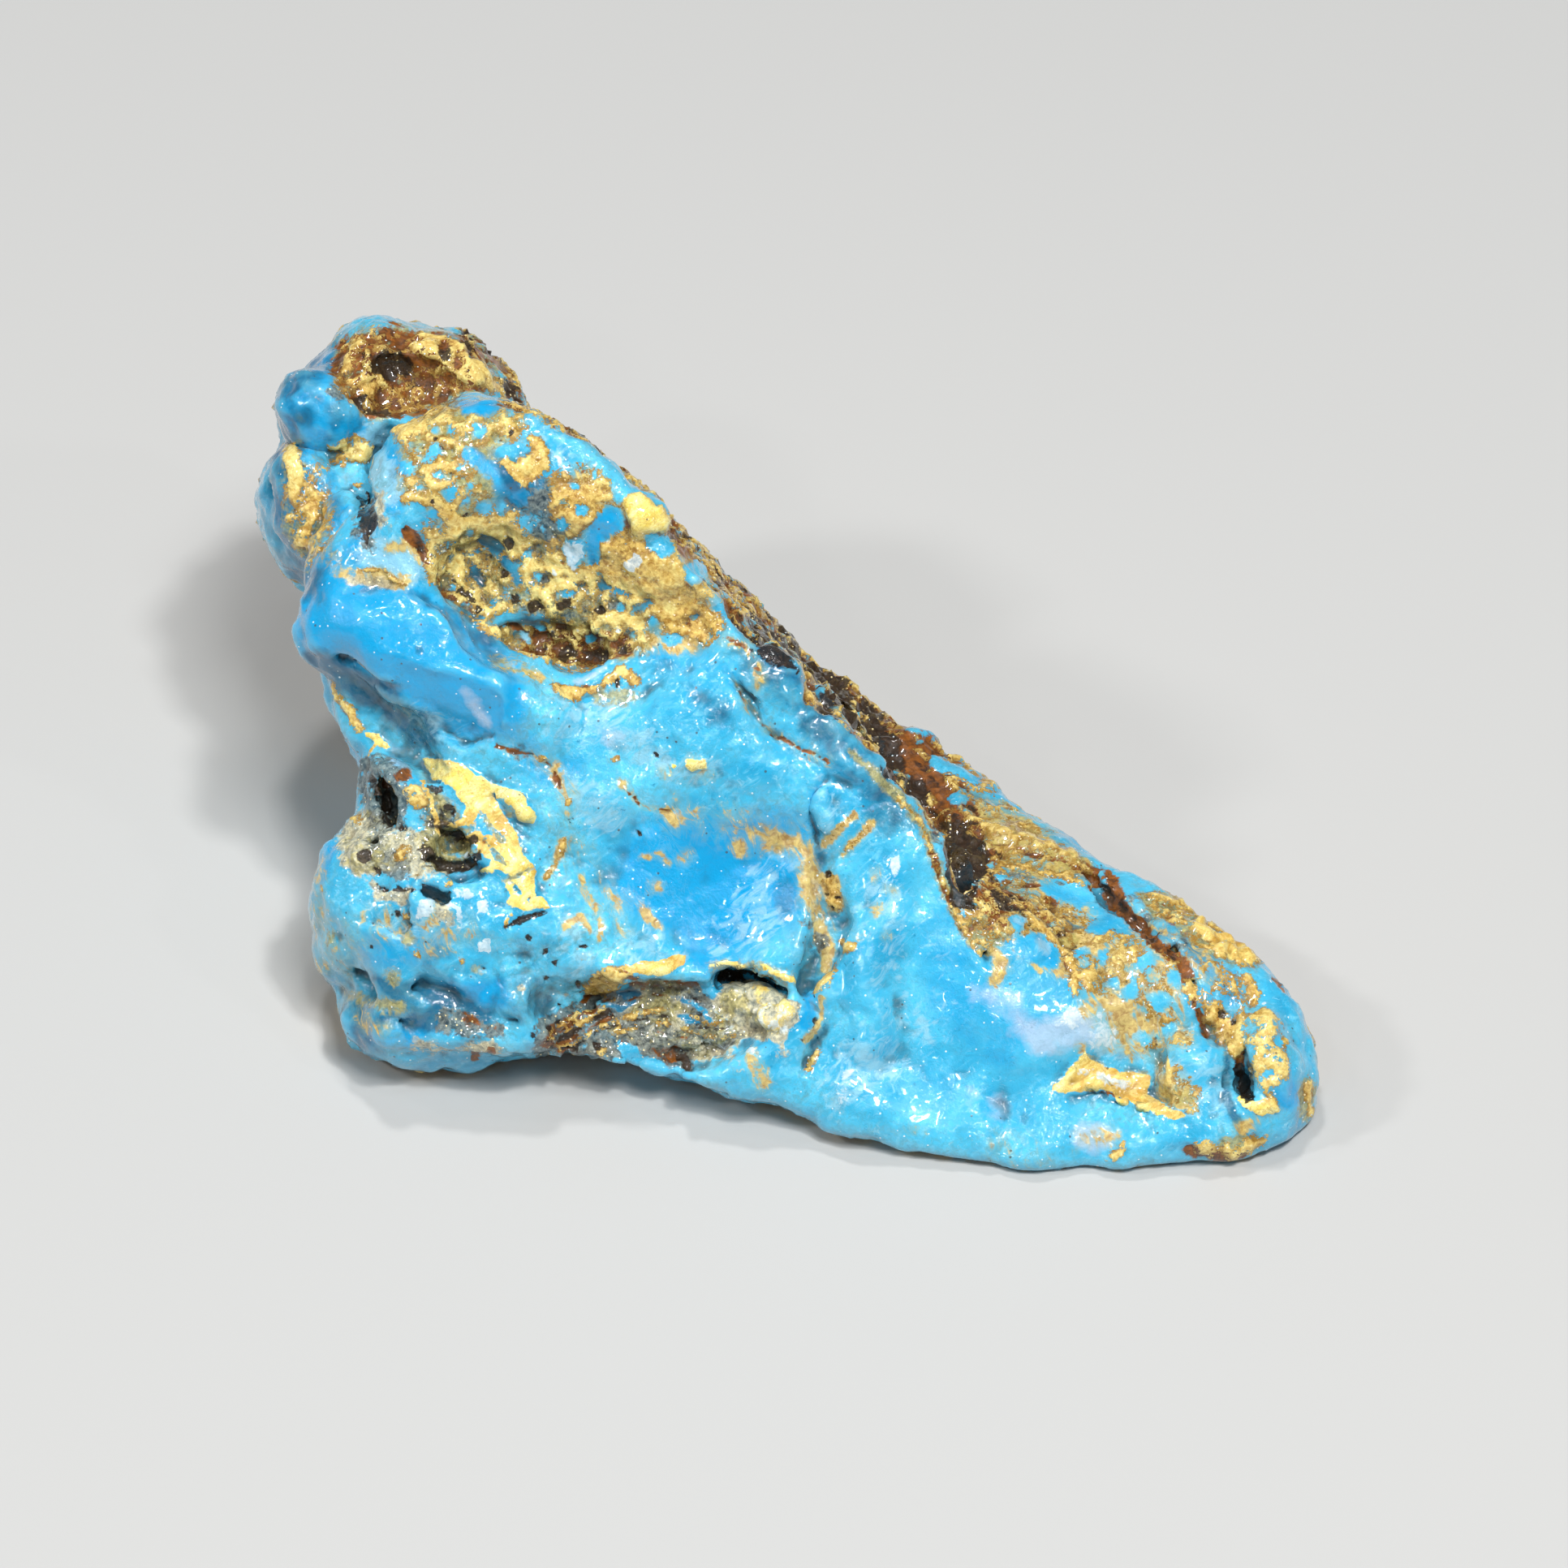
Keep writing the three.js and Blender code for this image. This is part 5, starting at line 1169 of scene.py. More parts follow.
def paint_crust_below_hole():
    """The crust below the hole in the crest."""
    patch(0.4, (10.4, 15.6), (11.3, 16.4), (12.6, 15.8), (13.2, 14.6), (12.6, 12.6), (11.4, 11.9),
          (10.2, 12.6), (9.8, 14.2), gold=0.42)
    patch(0.3, (10.2, 14.4), (12.6, 14.4), (12.7, 12.6), (11.2, 12.0), (10.2, 12.8), olive=0.8)
    patch(0.5, (10.4, 15.8), (12.6, 15.8), (13.2, 14.4), (12.2, 12.8), (10.4, 13.0), rust=0.72)
    spots(0.24, 0.15, (12.15, 16.05), (11.6, 16.8), bare=1)
    spots(0.25, 0.2, (10.4, 13.6), (11.5, 13.7), (12.4, 12.6), (11.0, 14.6), bright=1)
    spots(0.2, 0.2, (11.8, 12.8), (11.2, 13.2), (10.6, 14.3), dark=0.8)
    stroke(0.5, 0.4, (11.6, 12.0), (12.3, 11.2), (11.8, 10.2), stain=0.9)
    stroke(0.1, 0.12, (12.4, 11.2), (12.1, 10.7), (11.8, 10.2), plate=1)


def paint_slope_behind():
    """The slope behind the crest."""
    # the dark strokes over the slope are partly its dark brown matrix and partly painted shade where it
    # turns away from the front
    stroke(1.6, 0.9, (-1.0, 30.0), (2.0, 27.8), (4.0, 25.4), dark=0.8)
    stroke(0.7, 0.5, (7.0, 25.4), (8.0, 24.4), bare=0.7)
    stroke(0.9, 0.5, (5.2, 23.8), (6.4, 22.4), (7.4, 21.0), dark=0.9)
    stroke(1.4, 0.8, (4.6, 26.6), (6.6, 24.4), (8.6, 22.0), rust=0.9)
    stroke(0.9, 0.4, (7.6, 20.8), (9.2, 19.4), (10.4, 18.6), rust=1)
    stroke(0.35, 0.4, (8.0, 20.2), (9.4, 18.6), dark=0.6)
    stroke(0.9, 0.8, (-6.2, 35.6), (-3.0, 32.6), rust=0.9)
    patch(0.6, (8.4, 25.4), (10.8, 23.6), (12.6, 21.4), (11.0, 20.4), (9.4, 21.2), (8.2, 23.4), gold=0.55)
    stroke(0.4, 0.3, (8.6, 22.6), (9.6, 22.2), (10.6, 21.6), bare=1)


def paint_slab_top():
    """Golden and olive streaks along the top of the slab."""
    top = [(10.4, 20.8), (12.6, 20.2), (16.6, 17.6), (17.4, 16.2), (14.4, 16.0), (11.8, 16.6),
           (10.6, 18.4)]
    patch(0.5, *top, stain=0.8, olive=0.45, gold=0.34)
    for height, layer in ((19.0, "gold"), (18.3, "rust"), (17.8, "deep"), (17.4, "gold"), (16.9, "dusk"),
                          (16.5, "rust")):
        stroke(0.16, 0.18, (11.2, height), (12.6, height - 0.55), (15.6, height - 1.2),
               (16.8, height - 1.75), **{layer: 0.8})
    spots(0.5, 0.4, (13.9, 18.6), (15.2, 16.9), (12.0, 19.4), bright=0.8)


def paint_slab_net():
    """A net of ochre from the hole to the nose, with clean blue between."""
    patch(0.8, (11.6, 16.0), (15.4, 15.8), (17.7, 13.6), (22.8, 11.3), (23.2, 6.6), (20.8, 5.8),
          (17.0, 9.0), (13.6, 12.0), stain=0.72)
    patch(0.7, (13.0, 16.0), (17.7, 13.6), (22.4, 11.6), (21.6, 8.6), (19.0, 9.0), (16.0, 10.4),
          (13.2, 14.0), gold=0.32)
    patch(0.4, (17.6, 12.8), (19.0, 13.0), (20.7, 11.5), (19.2, 10.6), (19.6, 9.2), (17.6, 9.8),
          (16.2, 9.6), (16.2, 10.6), (17.9, 11.2), gold=0.34)
    stroke(1.0, 0.8, (18.4, 12.4), (18.8, 10.8), bright=0.5)
    stroke(0.2, 0.2, (13.5, 14.4), (14.2, 13.5), (15.8, 12.2), (16.3, 10.8), (16.4, 9.6), gold=0.9)
    stroke(0.16, 0.2, (13.4, 14.6), (15.6, 12.4), (16.1, 10.6), (16.6, 9.4), rust=0.6)
    stroke(0.5, 0.6, (20.0, 8.8), (21.8, 8.0), (22.4, 6.8), gold=0.5)
    stroke(0.7, 0.5, (14.8, 14.0), (16.4, 13.2), dusk=0.6)
    for island in ([(14.4, 15.5), (15.8, 15.6), (17.3, 14.9), (16.8, 14.3), (14.9, 15.0)],
                   [(12.4, 13.9), (13.8, 13.7), (13.2, 12.8)],
                   [(12.8, 12.3), (14.4, 13.0), (15.6, 12.0), (15.4, 11.0), (13.6, 11.2)],
                   [(17.9, 14.2), (19.1, 13.6), (18.2, 13.1)]):
        patch(0.2, *island, bare=1)
        patch(0.4, *island, azure=0.5)
    spots(0.5, 0.3, (17.6, 13.2), (20.3, 11.4), (21.2, 9.0), (19.6, 9.7), bare=0.95)
    spots(0.34, 0.25, (16.7, 11.9), (18.0, 11.6), (22.0, 10.4), (21.7, 7.4), (20.2, 7.0), (18.6, 10.2),
          bare=0.95)
    stroke(0.9, 0.8, (20.6, 13.2), (23.5, 11.4), (26.2, 9.4), deep=0.4)
    stroke(0.14, 0.15, (12.9, 12.4), (13.4, 11.4), (14.4, 10.8), stain=1)
    spots(0.45, 0.3, (14.6, 12.2), (13.4, 13.6), (17.3, 12.3), pale=0.7)


def paint_groove():
    """The brown groove across the slab."""
    stroke(0.42, 0.25, (17.2, 16.0), (19.0, 14.3), (21.0, 12.4), (22.4, 11.3), (22.8, 10.4), rust=1)
    stroke(0.2, 0.2, (17.8, 15.6), (19.0, 14.4), (21.0, 12.5), (22.0, 11.6), dark=0.7)
    stroke(0.3, 0.25, (18.3, 16.2), (19.0, 15.0), rust=0.9)
    stroke(0.5, 0.6, (18.4, 15.6), (20.4, 14.0), (22.6, 12.2), dusk=0.45)
    stroke(0.9, 0.8, (20.0, 13.8), (23.4, 11.4), (25.6, 9.6), stain=0.5)
    stroke(0.12, 0.15, (17.8, 14.9), (19.6, 13.1), (21.8, 11.2), sand=1)
    stroke(0.2, 0.2, (22.8, 10.2), (23.0, 9.0), (24.0, 7.2), rust=1)
    stroke(0.5, 0.4, (22.9, 9.8), (23.6, 9.0), (24.6, 8.0), gold=0.7)
    stroke(0.4, 0.4, (16.6, 17.1), (17.6, 16.4), rust=0.6)


def paint_yellow_rim():
    """The yellow far rim, and the blue below it."""
    rim = [(20.0, 15.1), (22.0, 15.2), (23.2, 14.6), (24.4, 13.3), (26.0, 12.2), (27.1, 11.4),
           (26.8, 10.9), (25.4, 11.1), (23.4, 12.1), (22.0, 13.2), (20.8, 13.8)]
    patch(0.25, *rim, gold=0.52)
    patch(0.3, *rim, olive=0.7, rust=0.3)
    patch(0.3, (20.0, 15.1), (22.0, 15.2), (23.2, 14.4), (22.6, 13.2), (20.8, 13.8), olive=0.7)
    patch(0.3, (23.2, 14.2), (24.6, 13.0), (26.9, 11.4), (26.2, 10.9), (24.4, 11.8), (23.0, 12.8),
          plate=0.62)
    stroke(0.4, 0.4, (21.2, 14.4), (22.4, 12.9), rust=0.5)
    stroke(0.6, 0.5, (21.4, 12.4), (25.0, 10.4), (25.4, 9.4), azure=0.9)
    patch(0.5, (22.6, 11.8), (26.4, 10.4), (26.8, 8.0), (24.4, 9.4), gold=0.4)
    stroke(0.16, 0.2, (26.1, 10.4), (26.7, 9.4), (26.5, 8.7), gold=0.9)
    stroke(0.3, 0.3, (27.7, 10.8), (28.4, 9.6), rust=0.8)


def paint_wedge_flake():
    patch(0.5, (16.4, 8.0), (17.8, 9.2), (20.2, 7.6), (20.4, 5.6), (17.6, 6.0), pale=0.95)
    patch(0.6, (17.0, 8.4), (18.4, 9.4), (20.6, 7.4), (20.4, 5.8), (18.2, 6.2), stain=0.6)
    patch(0.6, (16.6, 7.6), (17.8, 8.8), (19.0, 7.2), (19.0, 6.2), (17.4, 6.2), white=0.55)
    stroke(0.14, 0.18, (18.6, 8.8), (19.2, 6.8), (19.6, 5.6), stain=1)
    spots(0.5, 0.4, (17.0, 8.6), (19.2, 8.8), (16.6, 6.4), stain=0.7)
    patch(0.2, (14.9, 3.8), (16.0, 5.2), (16.8, 6.3), (18.2, 5.3), (20.8, 4.8), (20.5, 3.7), (22.8, 2.6),
          (22.0, 2.2), (19.8, 3.0), (18.2, 3.9), (16.3, 3.9), plate=0.88)
    stroke(0.16, 0.2, (15.4, 4.0), (16.4, 5.6), (17.0, 6.2), bright=1)
    stroke(0.4, 0.4, (16.8, 4.9), (19.4, 4.3), white=0.62)
    stroke(0.3, 0.3, (17.0, 6.0), (18.0, 5.2), (20.4, 4.7), olive=0.7)
    stroke(0.13, 0.16, (16.8, 4.1), (18.8, 3.7), (20.2, 3.3), (21.4, 2.8), rust=0.8)
    stroke(0.14, 0.15, (17.6, 3.8), (19.4, 3.2), (21.8, 2.3), bright=1)
    stroke(0.14, 0.14, (21.7, 6.9), (21.6, 5.8), (21.8, 5.0), (21.6, 4.3), plate=1)
    patch(0.4, (21.0, 6.2), (22.4, 5.6), (23.6, 4.0), (23.4, 2.6), (21.4, 3.2), (21.2, 4.6), pale=0.8)
    patch(0.3, (21.0, 6.2), (22.4, 5.6), (23.6, 4.0), (23.4, 2.6), (21.4, 3.2), (21.2, 4.6), gold=0.34)
    patch(0.3, (21.2, 4.4), (23.2, 4.0), (23.2, 3.0), (21.2, 3.4), olive=0.7)
    patch(0.3, (21.0, 5.8), (23.4, 4.2), (23.4, 2.7), (21.2, 3.2), stain=0.8)
    stroke(0.3, 0.25, (20.9, 3.6), (21.4, 4.2), pale=0.9)
    stroke(0.7, 0.5, (16.8, 1.4), (17.8, 1.2), lilac=0.9)
    stroke(0.6, 0.5, (16.6, 1.2), (18.2, 1.3), stain=0.5)
    patch(0.15, (18.2, 0.1), (19.2, 1.1), (19.1, 0.3), (18.7, 0.0), gold=1)
    stroke(0.4, 0.3, (20.6, 6.6), gold=0.6)


def paint_nose():
    stroke(1.6, 0.9, (23.6, 5.2), (24.2, 2.8), azure=0.2)
    stroke(1.0, 0.8, (23.8, 5.4), (24.4, 3.2), pale=0.3)
    # painted shade along the bulb's crease
    stroke(0.2, 0.3, (25.1, 6.6), (25.0, 3.4), (25.6, 2.2), (26.0, 1.4), deep=1)
    spots(0.3, 0.25, (24.2, 4.5), deep=0.8)


def paint_nose_lace():
    """Lace round the pits of the nose."""
    patch(0.3, (25.6, 8.4), (27.2, 8.6), (28.2, 7.4), (28.6, 5.9), (28.3, 4.6), (27.2, 3.8), (26.6, 4.4),
          (26.4, 6.5), (25.6, 7.0), gold=0.56)
    stroke(0.9, 0.5, (26.6, 7.3), (27.4, 5.4), bright=0.7)
    spots(0.3, 0.2, (27.8, 6.7), (27.3, 4.9), (26.4, 6.3), bare=1)
    stroke(0.7, 0.4, (24.4, 8.1), (25.2, 7.2), (25.8, 6.6), gold=0.72)
    stroke(0.6, 0.4, (24.6, 7.8), (25.5, 6.4), olive=0.7)
    spots(0.24, 0.2, (24.75, 8.35), (25.3, 7.85), dark=1)
    stroke(0.3, 0.25, (25.8, 7.0), (25.7, 5.4), rust=1)
    stroke(0.4, 0.2, (25.7, 5.1), (25.9, 4.2), (26.1, 3.8), dark=1)
    stroke(0.3, 0.2, (26.4, 5.4), (26.4, 4.4), dusk=1)
    patch(0.16, (25.4, 3.6), (26.6, 3.4), (27.2, 3.7), (27.9, 2.9), (27.0, 2.6), (26.2, 3.0), plate=1)
    stroke(0.3, 0.25, (25.8, 3.35), (27.6, 2.8), bright=1)
    stroke(0.2, 0.2, (27.2, 4.2), (27.5, 3.2), gold=1)
    stroke(0.8, 0.4, (28.4, 3.6), azure=1)
    stroke(0.5, 0.3, (29.5, 4.0), (29.4, 2.6), olive=0.9)
    stroke(0.2, 0.2, (29.6, 4.6), (29.6, 2.8), gold=0.8)
    stroke(0.16, 0.1, (27.1, 8.9), white=1)


def paint_nose_band():
    """A brown and golden band under the nose."""
    stroke(0.4, 0.3, (22.8, 0.6), (24.4, 0.3), (25.8, 0.2), rust=0.8)
    stroke(0.4, 0.3, (23.4, 0.8), (25.4, 0.5), (26.8, 1.2), gold=0.7)
    stroke(0.4, 0.3, (24.8, 1.0), (26.4, 1.0), olive=0.8)
    stroke(0.4, 0.3, (25.6, 1.8), (26.6, 2.2), stain=0.6)


def paint_smooth_places():
    stroke(2.6, 1.6, (12.6, 16.4), (17.0, 13.4), (20.0, 10.4), (19.4, 7.0), calm=0.8)
    stroke(1.6, 1.4, (-20.6, 41.0), (-17.6, 38.0), calm=0.6)
    stroke(3.4, 1.6, (-5.6, 16.0), (-3.0, 14.4), calm=1)
    stroke(4.2, 2.4, (7.4, 13.0), (8.6, 6.0), (12.0, 7.0), calm=0.9)
    stroke(2.4, 1.0, (-25.0, 30.4), (-21.0, 29.2), (-17.6, 26.8), calm=0.9)
    stroke(2.5, 1.8, (-10.5, 24.4), (-9.0, 19.0), calm=0.6)
    stroke(1.4, 0.8, (23.6, 4.6), calm=0.8)


AREAS = (paint_back_lobe, paint_crevice, paint_shoulder, paint_shoulder_nodule, paint_pit, paint_net,
         paint_islands, paint_nodules, paint_pit_hollows, paint_pit_floor, paint_pit_foot, paint_rib,
         paint_left_flank, paint_flake, paint_flake_cells, paint_sandy_patch, paint_left_lobe,
         paint_foot_folds, paint_shaded_blue, paint_middle, paint_basin, paint_faint_strands, paint_shelf,
         paint_swept_strands, paint_cream_layers, paint_arch, paint_seam, paint_right_face, paint_crest,
         paint_crust_below_hole, paint_slope_behind, paint_slab_top, paint_slab_net, paint_groove,
         paint_yellow_rim, paint_wedge_flake, paint_nose, paint_nose_lace, paint_nose_band,
         paint_smooth_places)
for paint_area in AREAS:
    paint_area()


# ---------------------------------------------------------------- the sides away from the front
slope_gap = (face - np.array(SLOPE_AT)) @ np.array(SLOPE_WAY)
on_slope = (rise(0.55, 0.8, normals @ np.array(SLOPE_WAY)) * rise(3.2, 1.6, np.abs(slope_gap))
            * rise(0.5, -1.5, face[:, 2]))
in_trough = rise(1.4, 0.5, np.abs(oval(face, *TROUGH))) * rise(-4.5, -6.0, face[:, 2])
behind = rise(0.05, -0.35, toward)
patchy = 0.5 + 0.9 * fbm(face, 9.0, 41, 3)
matrix = np.clip(on_slope + in_trough + behind * rise(0.25, 0.75, patchy + 0.12), 0, 1)


def paint_sides():
    """The brown matrix on the slope and in its trough, and patches of it over the guessed back."""
    streaks = fbm(face, (2.2, 5.0, 2.2), 43, 3)
    sides = {
        "rust": matrix * np.clip(0.62 + 0.7 * streaks, 0, 1),
        "dark": matrix * np.clip(0.34 + 0.8 * fbm(face, 3.1, 45, 3), 0, 1),
        "gold": (matrix * 0.42 + behind * 0.2) * np.clip(1 + 0.9 * fbm(face, 6.0, 47, 2), 0, 1.4),
        "olive": matrix * 0.4 * np.clip(1 + fbm(face, 5.0, 49, 2), 0, 1.5),
        "sand": behind * 0.5 * rise(0.0, 0.5, fbm(face, 7.0, 51, 2)),
        "deep": behind * rise(-0.1, 0.5, fbm(face, 7.5, 53, 2)) * 0.7,
        "pale": behind * rise(0.05, 0.6, fbm(face, 6.5, 55, 2)) * 0.7,
    }
    for name, density in sides.items():
        paint[name] = np.maximum(paint[name], density)


paint_sides()
cleared = 1 - paint["bare"]
for name in ("gold", "olive", "rust", "sand", "dusk", "stain", "dark"):
    paint[name] = paint[name] * cleared

# ---------------------------------------------------------------- crusts break up into lace and grains
twist = face + 0.45 * np.stack([noise(face, 1.7, seed) for seed in (61, 62, 63)], 1)
lace = 0.22 - 1.2 * web(twist, 1.35, 65) + 0.45 * noise(face, 0.7, 66)
mottle = fbm(twist, 2.3, 67, 3)
crumb = fbm(twist, 1.1, 69, 3)
grains = noise(twist, 0.7, 73)
RAGGED = {  # what breaks each layer's edge, how much, and how sharp the edge is
    "gold": (lace, 0.9, 1.2), "plate": (crumb, 0.5, 1.2), "rust": (crumb, 0.5, 1.3),
    "dark": (crumb, 0.6, 1.3), "dusk": (crumb, 0.5, 1.2), "white": (crumb, 0.3, 1.2),
    "olive": (mottle, 0.4, 1.0), "sand": (mottle, 0.4, 1.0), "stain": (mottle, 0.4, 1.0),
    "azure": (mottle, 0.2, 1.0), "deep": (mottle, 0.4, 1.0), "pale": (mottle, 0.4, 1.0),
    "lilac": (mottle, 0.4, 1.0),
}


def ragged(density, pattern, amount, slope):
    """The painted density with a pattern laid over it wherever it is partly painted."""
    partly = rise(0.0, 0.2, density) * (1 - 0.6 * rise(0.75, 1.0, density))
    return np.clip(0.5 + slope * (density + amount * pattern * partly - 0.5), 0, 1)


masks = {name: ragged(paint[name], *how) for name, how in RAGGED.items()}
masks["around"] = np.clip(paint["gold"] + 0.6 * paint["olive"] + 0.5 * paint["rust"], 0, 1) * cleared
masks["bright"] = paint["bright"]
masks["calm"] = paint["calm"]


# ---------------------------------------------------------------- fine relief
def ridges(period, seed):
    return 1 - 2 * np.abs(noise(twist, period, seed))


# How high each kind of relief stands, in millimetres
ROLL, CROSSED_RIDGES, FINE_RIDGES = 0.17, 0.15, 0.10
CRUST_RISE, BRIGHT_CRUST_RISE, TRENCH_ROUND_CRUST = 0.14, 0.05, 0.10
PLATE_RISE, BRIGHT_PLATE_RISE, PLATE_RIDGES, PLATE_GRAINS = 0.06, 0.12, 0.08, 0.08
DARK_DEPTH, RUST_DEPTH = 0.20, 0.12
SAND_GRAINS, SAND_DEPTH, DUSK_GRAINS = 0.52, 0.12, 0.10
WHITE_RISE, MATRIX_LUMPS = 0.06, 0.14
CALM_LOSS = 0.75   # how much of the folds is lost in calm places


def fine_relief():
    """How far each vertex is raised, in millimetres: folds everywhere, and what each crust adds."""
    crusted = rise(0.30, 0.70, masks["gold"])
    plated = rise(0.25, 0.75, masks["plate"])
    hollowed = rise(0.35, 0.8, masks["dark"])
    rusty = rise(0.35, 0.65, masks["rust"]) * (1 - crusted)
    sandy = rise(0.3, 0.7, masks["sand"])
    dusky = rise(0.3, 0.7, masks["dusk"])
    lively = 1 - CALM_LOSS * np.clip(paint["calm"], 0, 1)
    out = lively * (ROLL * fbm(twist, 2.6, 77, 3) + CROSSED_RIDGES * ridges(2.0, 81) * ridges(3.7, 83)
                    + FINE_RIDGES * ridges(1.0, 85))
    out += CRUST_RISE * crusted * (0.7 + grains) * (0.3 + 0.7 * lively)
    out += BRIGHT_CRUST_RISE * masks["bright"] * crusted
    out -= TRENCH_ROUND_CRUST * masks["around"] * (1 - crusted)
    out += plated * (PLATE_RISE + BRIGHT_PLATE_RISE * masks["bright"] + PLATE_RIDGES * ridges(1.1, 91)
                     + PLATE_GRAINS * grains)
    out -= DARK_DEPTH * hollowed
    out -= RUST_DEPTH * rusty * (1 - grains)
    out += np.maximum(sandy, dusky) * (SAND_GRAINS * np.abs(noise(face, 1.1, 75)) - SAND_DEPTH)
    out += DUSK_GRAINS * dusky * grains
    out += WHITE_RISE * rise(0.3, 0.7, masks["white"])
    out += MATRIX_LUMPS * matrix * fbm(face, 1.6, 79, 3)
    return out * rise(0.1, 1.2, verts[:, 2])   # nothing is raised at the ground


final = face + normals * fine_relief()[:, None]
xyz = np.stack([final[:, 0] - CENTRE[0], final[:, 1] * SIN - final[:, 2] * COS - CENTRE[1],
                final[:, 1] * COS + final[:, 2] * SIN], 1) / 1000
xyz[:, 2] = np.where(verts[:, 2] == 0, 0, np.maximum(xyz[:, 2], 0))
mesh = mesh_from("stone", xyz, triangles)
mesh.validate()

SCALES = {4: 2.2, 24: 0.9}   # how often the surface is smoothed to find hollows of a size, and their weight


def hollowness():
    """How hollow (above a half) or proud (below it) each place is, from two scales of smoothing."""
    sides = np.concatenate([triangles[:, [0, 1]], triangles[:, [1, 2]], triangles[:, [2, 0]]])
    pairs = np.unique(np.sort(sides, axis=1), axis=0)
    here, there = np.concatenate([pairs, pairs[:, ::-1]]).T
    links = np.bincount(here, minlength=len(final))
    outward = vertex_normals(final, triangles)
    smoothed, out = final.copy(), np.full(len(final), 0.5)
    for turn in range(1, max(SCALES) + 1):
        sums = [np.bincount(here, smoothed[there, k], len(final)) for k in range(3)]
        smoothed = np.stack(sums, 1) / links[:, None]
        if turn in SCALES:
            out += SCALES[turn] * ((smoothed - final) * outward).sum(1)
    return np.clip(out, 0, 1)


# The material paints shade into the hollows and light onto the proud places from this.
masks["hollow"] = hollowness()
for name, mask in masks.items():
    mesh.attributes.new(name, "FLOAT", "POINT").data.foreach_set("value", mask.astype(np.float32))
stone = bpy.data.objects.new("stone_surface", mesh)
bpy.context.scene.collection.objects.link(stone)

# ---------------------------------------------------------------- the material's building blocks
material = bpy.data.materials.new("stone")
material.use_nodes = True
tree = material.node_tree
tree.nodes.clear()


def srgb(red, green, blue):
    def linear(c):
        c /= 255
        return c / 12.92 if c <= 0.04045 else ((c + 0.055) / 1.055) ** 2.4
    return (linear(red), linear(green), linear(blue), 1)


def feed(socket, value):
    """Links a socket to another one, or sets its value."""
    if hasattr(value, "is_output"):
        tree.links.new(value, socket)
    elif value is not None:
        socket.default_value = value


def put(kind, *inputs, **settings):
    n = tree.nodes.new(kind)
    for key, value in settings.items():
        setattr(n, key, value)
    for slot, value in enumerate(inputs):
        feed(n.inputs[slot], value)
    return n


def maths(kind, a, b=None, c=None, clamp=False):
    return put("ShaderNodeMath", a, b, c, operation=kind, use_clamp=clamp).outputs[0]


def times(a, b):
    return maths("MULTIPLY", a, b)


def ramp(pattern, gain, start):
    """gain * pattern + start, kept between 0 and 1."""
    return maths("MULTIPLY_ADD", pattern, gain, start, clamp=True)


def layer(name):
    return put("ShaderNodeAttribute", attribute_name=name).outputs["Fac"]


def mix(factor, a, b):
    n = put("ShaderNodeMix", data_type="RGBA")
    for slot, value in ((0, factor), (6, a), (7, b)):
        feed(n.inputs[slot], value)
    return n.outputs[2]


def two(pattern, gain, low, high):
    """A colour between low and high, as the pattern goes."""
    return mix(ramp(pattern, gain, 0.5 - gain / 2), low, high)


def moved(by):
    return put("ShaderNodeVectorMath", mm, by, operation="ADD").outputs[0]


def grain(vector, scale, detail=4.0, rough=0.55, distort=0.0):
    n = put("ShaderNodeTexNoise", vector)
    n.inputs["Scale"].default_value = scale
    n.inputs["Detail"].default_value = detail
    n.inputs["Roughness"].default_value = rough
    n.inputs["Distortion"].default_value = distort
    return n.outputs[0]


def along(turn, size):
    """Places laid into the plane of the face, turned round in it and measured in the given lengths."""
    lay_back = put("ShaderNodeMapping", mm)
    lay_back.inputs["Rotation"].default_value = (math.radians(LEAN_DEG - 90), 0, 0)
    round_in_face = put("ShaderNodeMapping", lay_back.outputs[0], vector_type="TEXTURE")
    round_in_face.inputs["Rotation"].default_value = (0, 0, turn)
    round_in_face.inputs["Scale"].default_value = size
    return round_in_face.outputs[0]


def broken(mask, speckle, amount, sharp, at=0.5):
    """A soft mask broken up by a noise where it is only partly there, and then cut off sharply."""
    t = maths("MULTIPLY_ADD", speckle, amount, -amount / 2)
    partly = times(maths("MULTIPLY", mask, 5.0, clamp=True), ramp(mask, -2.4, 2.6))
    return ramp(maths("MULTIPLY_ADD", t, partly, mask), sharp, 0.5 - at * sharp)


def strand_net(scale, width):
    """Bright along the edges of wavy cells."""
    wave = put("ShaderNodeVectorMath", put("ShaderNodeTexNoise", mm).outputs[1], (0.5, 0.5, 0.5),
               operation="SUBTRACT")
    wavy = put("ShaderNodeVectorMath", mm, wave.outputs[0], operation="ADD")
    edge = put("ShaderNodeTexVoronoi", wavy.outputs[0], feature="DISTANCE_TO_EDGE")
    edge.inputs["Scale"].default_value = scale
    return ramp(edge.outputs["Distance"], -width, 1.0)


def specks(scale, size, keep, seed):
    """Round specks, one in each cell that is chosen."""
    v = put("ShaderNodeTexVoronoi", moved((seed, seed, seed)))
    v.inputs["Scale"].default_value = scale
    near = maths("LESS_THAN", v.outputs["Distance"], size)
    chosen = put("ShaderNodeSeparateColor", v.outputs["Color"])
    return times(near, maths("GREATER_THAN", chosen.outputs[0], keep))


def veins(pattern, fineness):
    """Thin lines where a pattern passes its middle."""
    return ramp(maths("ABSOLUTE", maths("SUBTRACT", pattern, 0.5)), -fineness, 1.0)


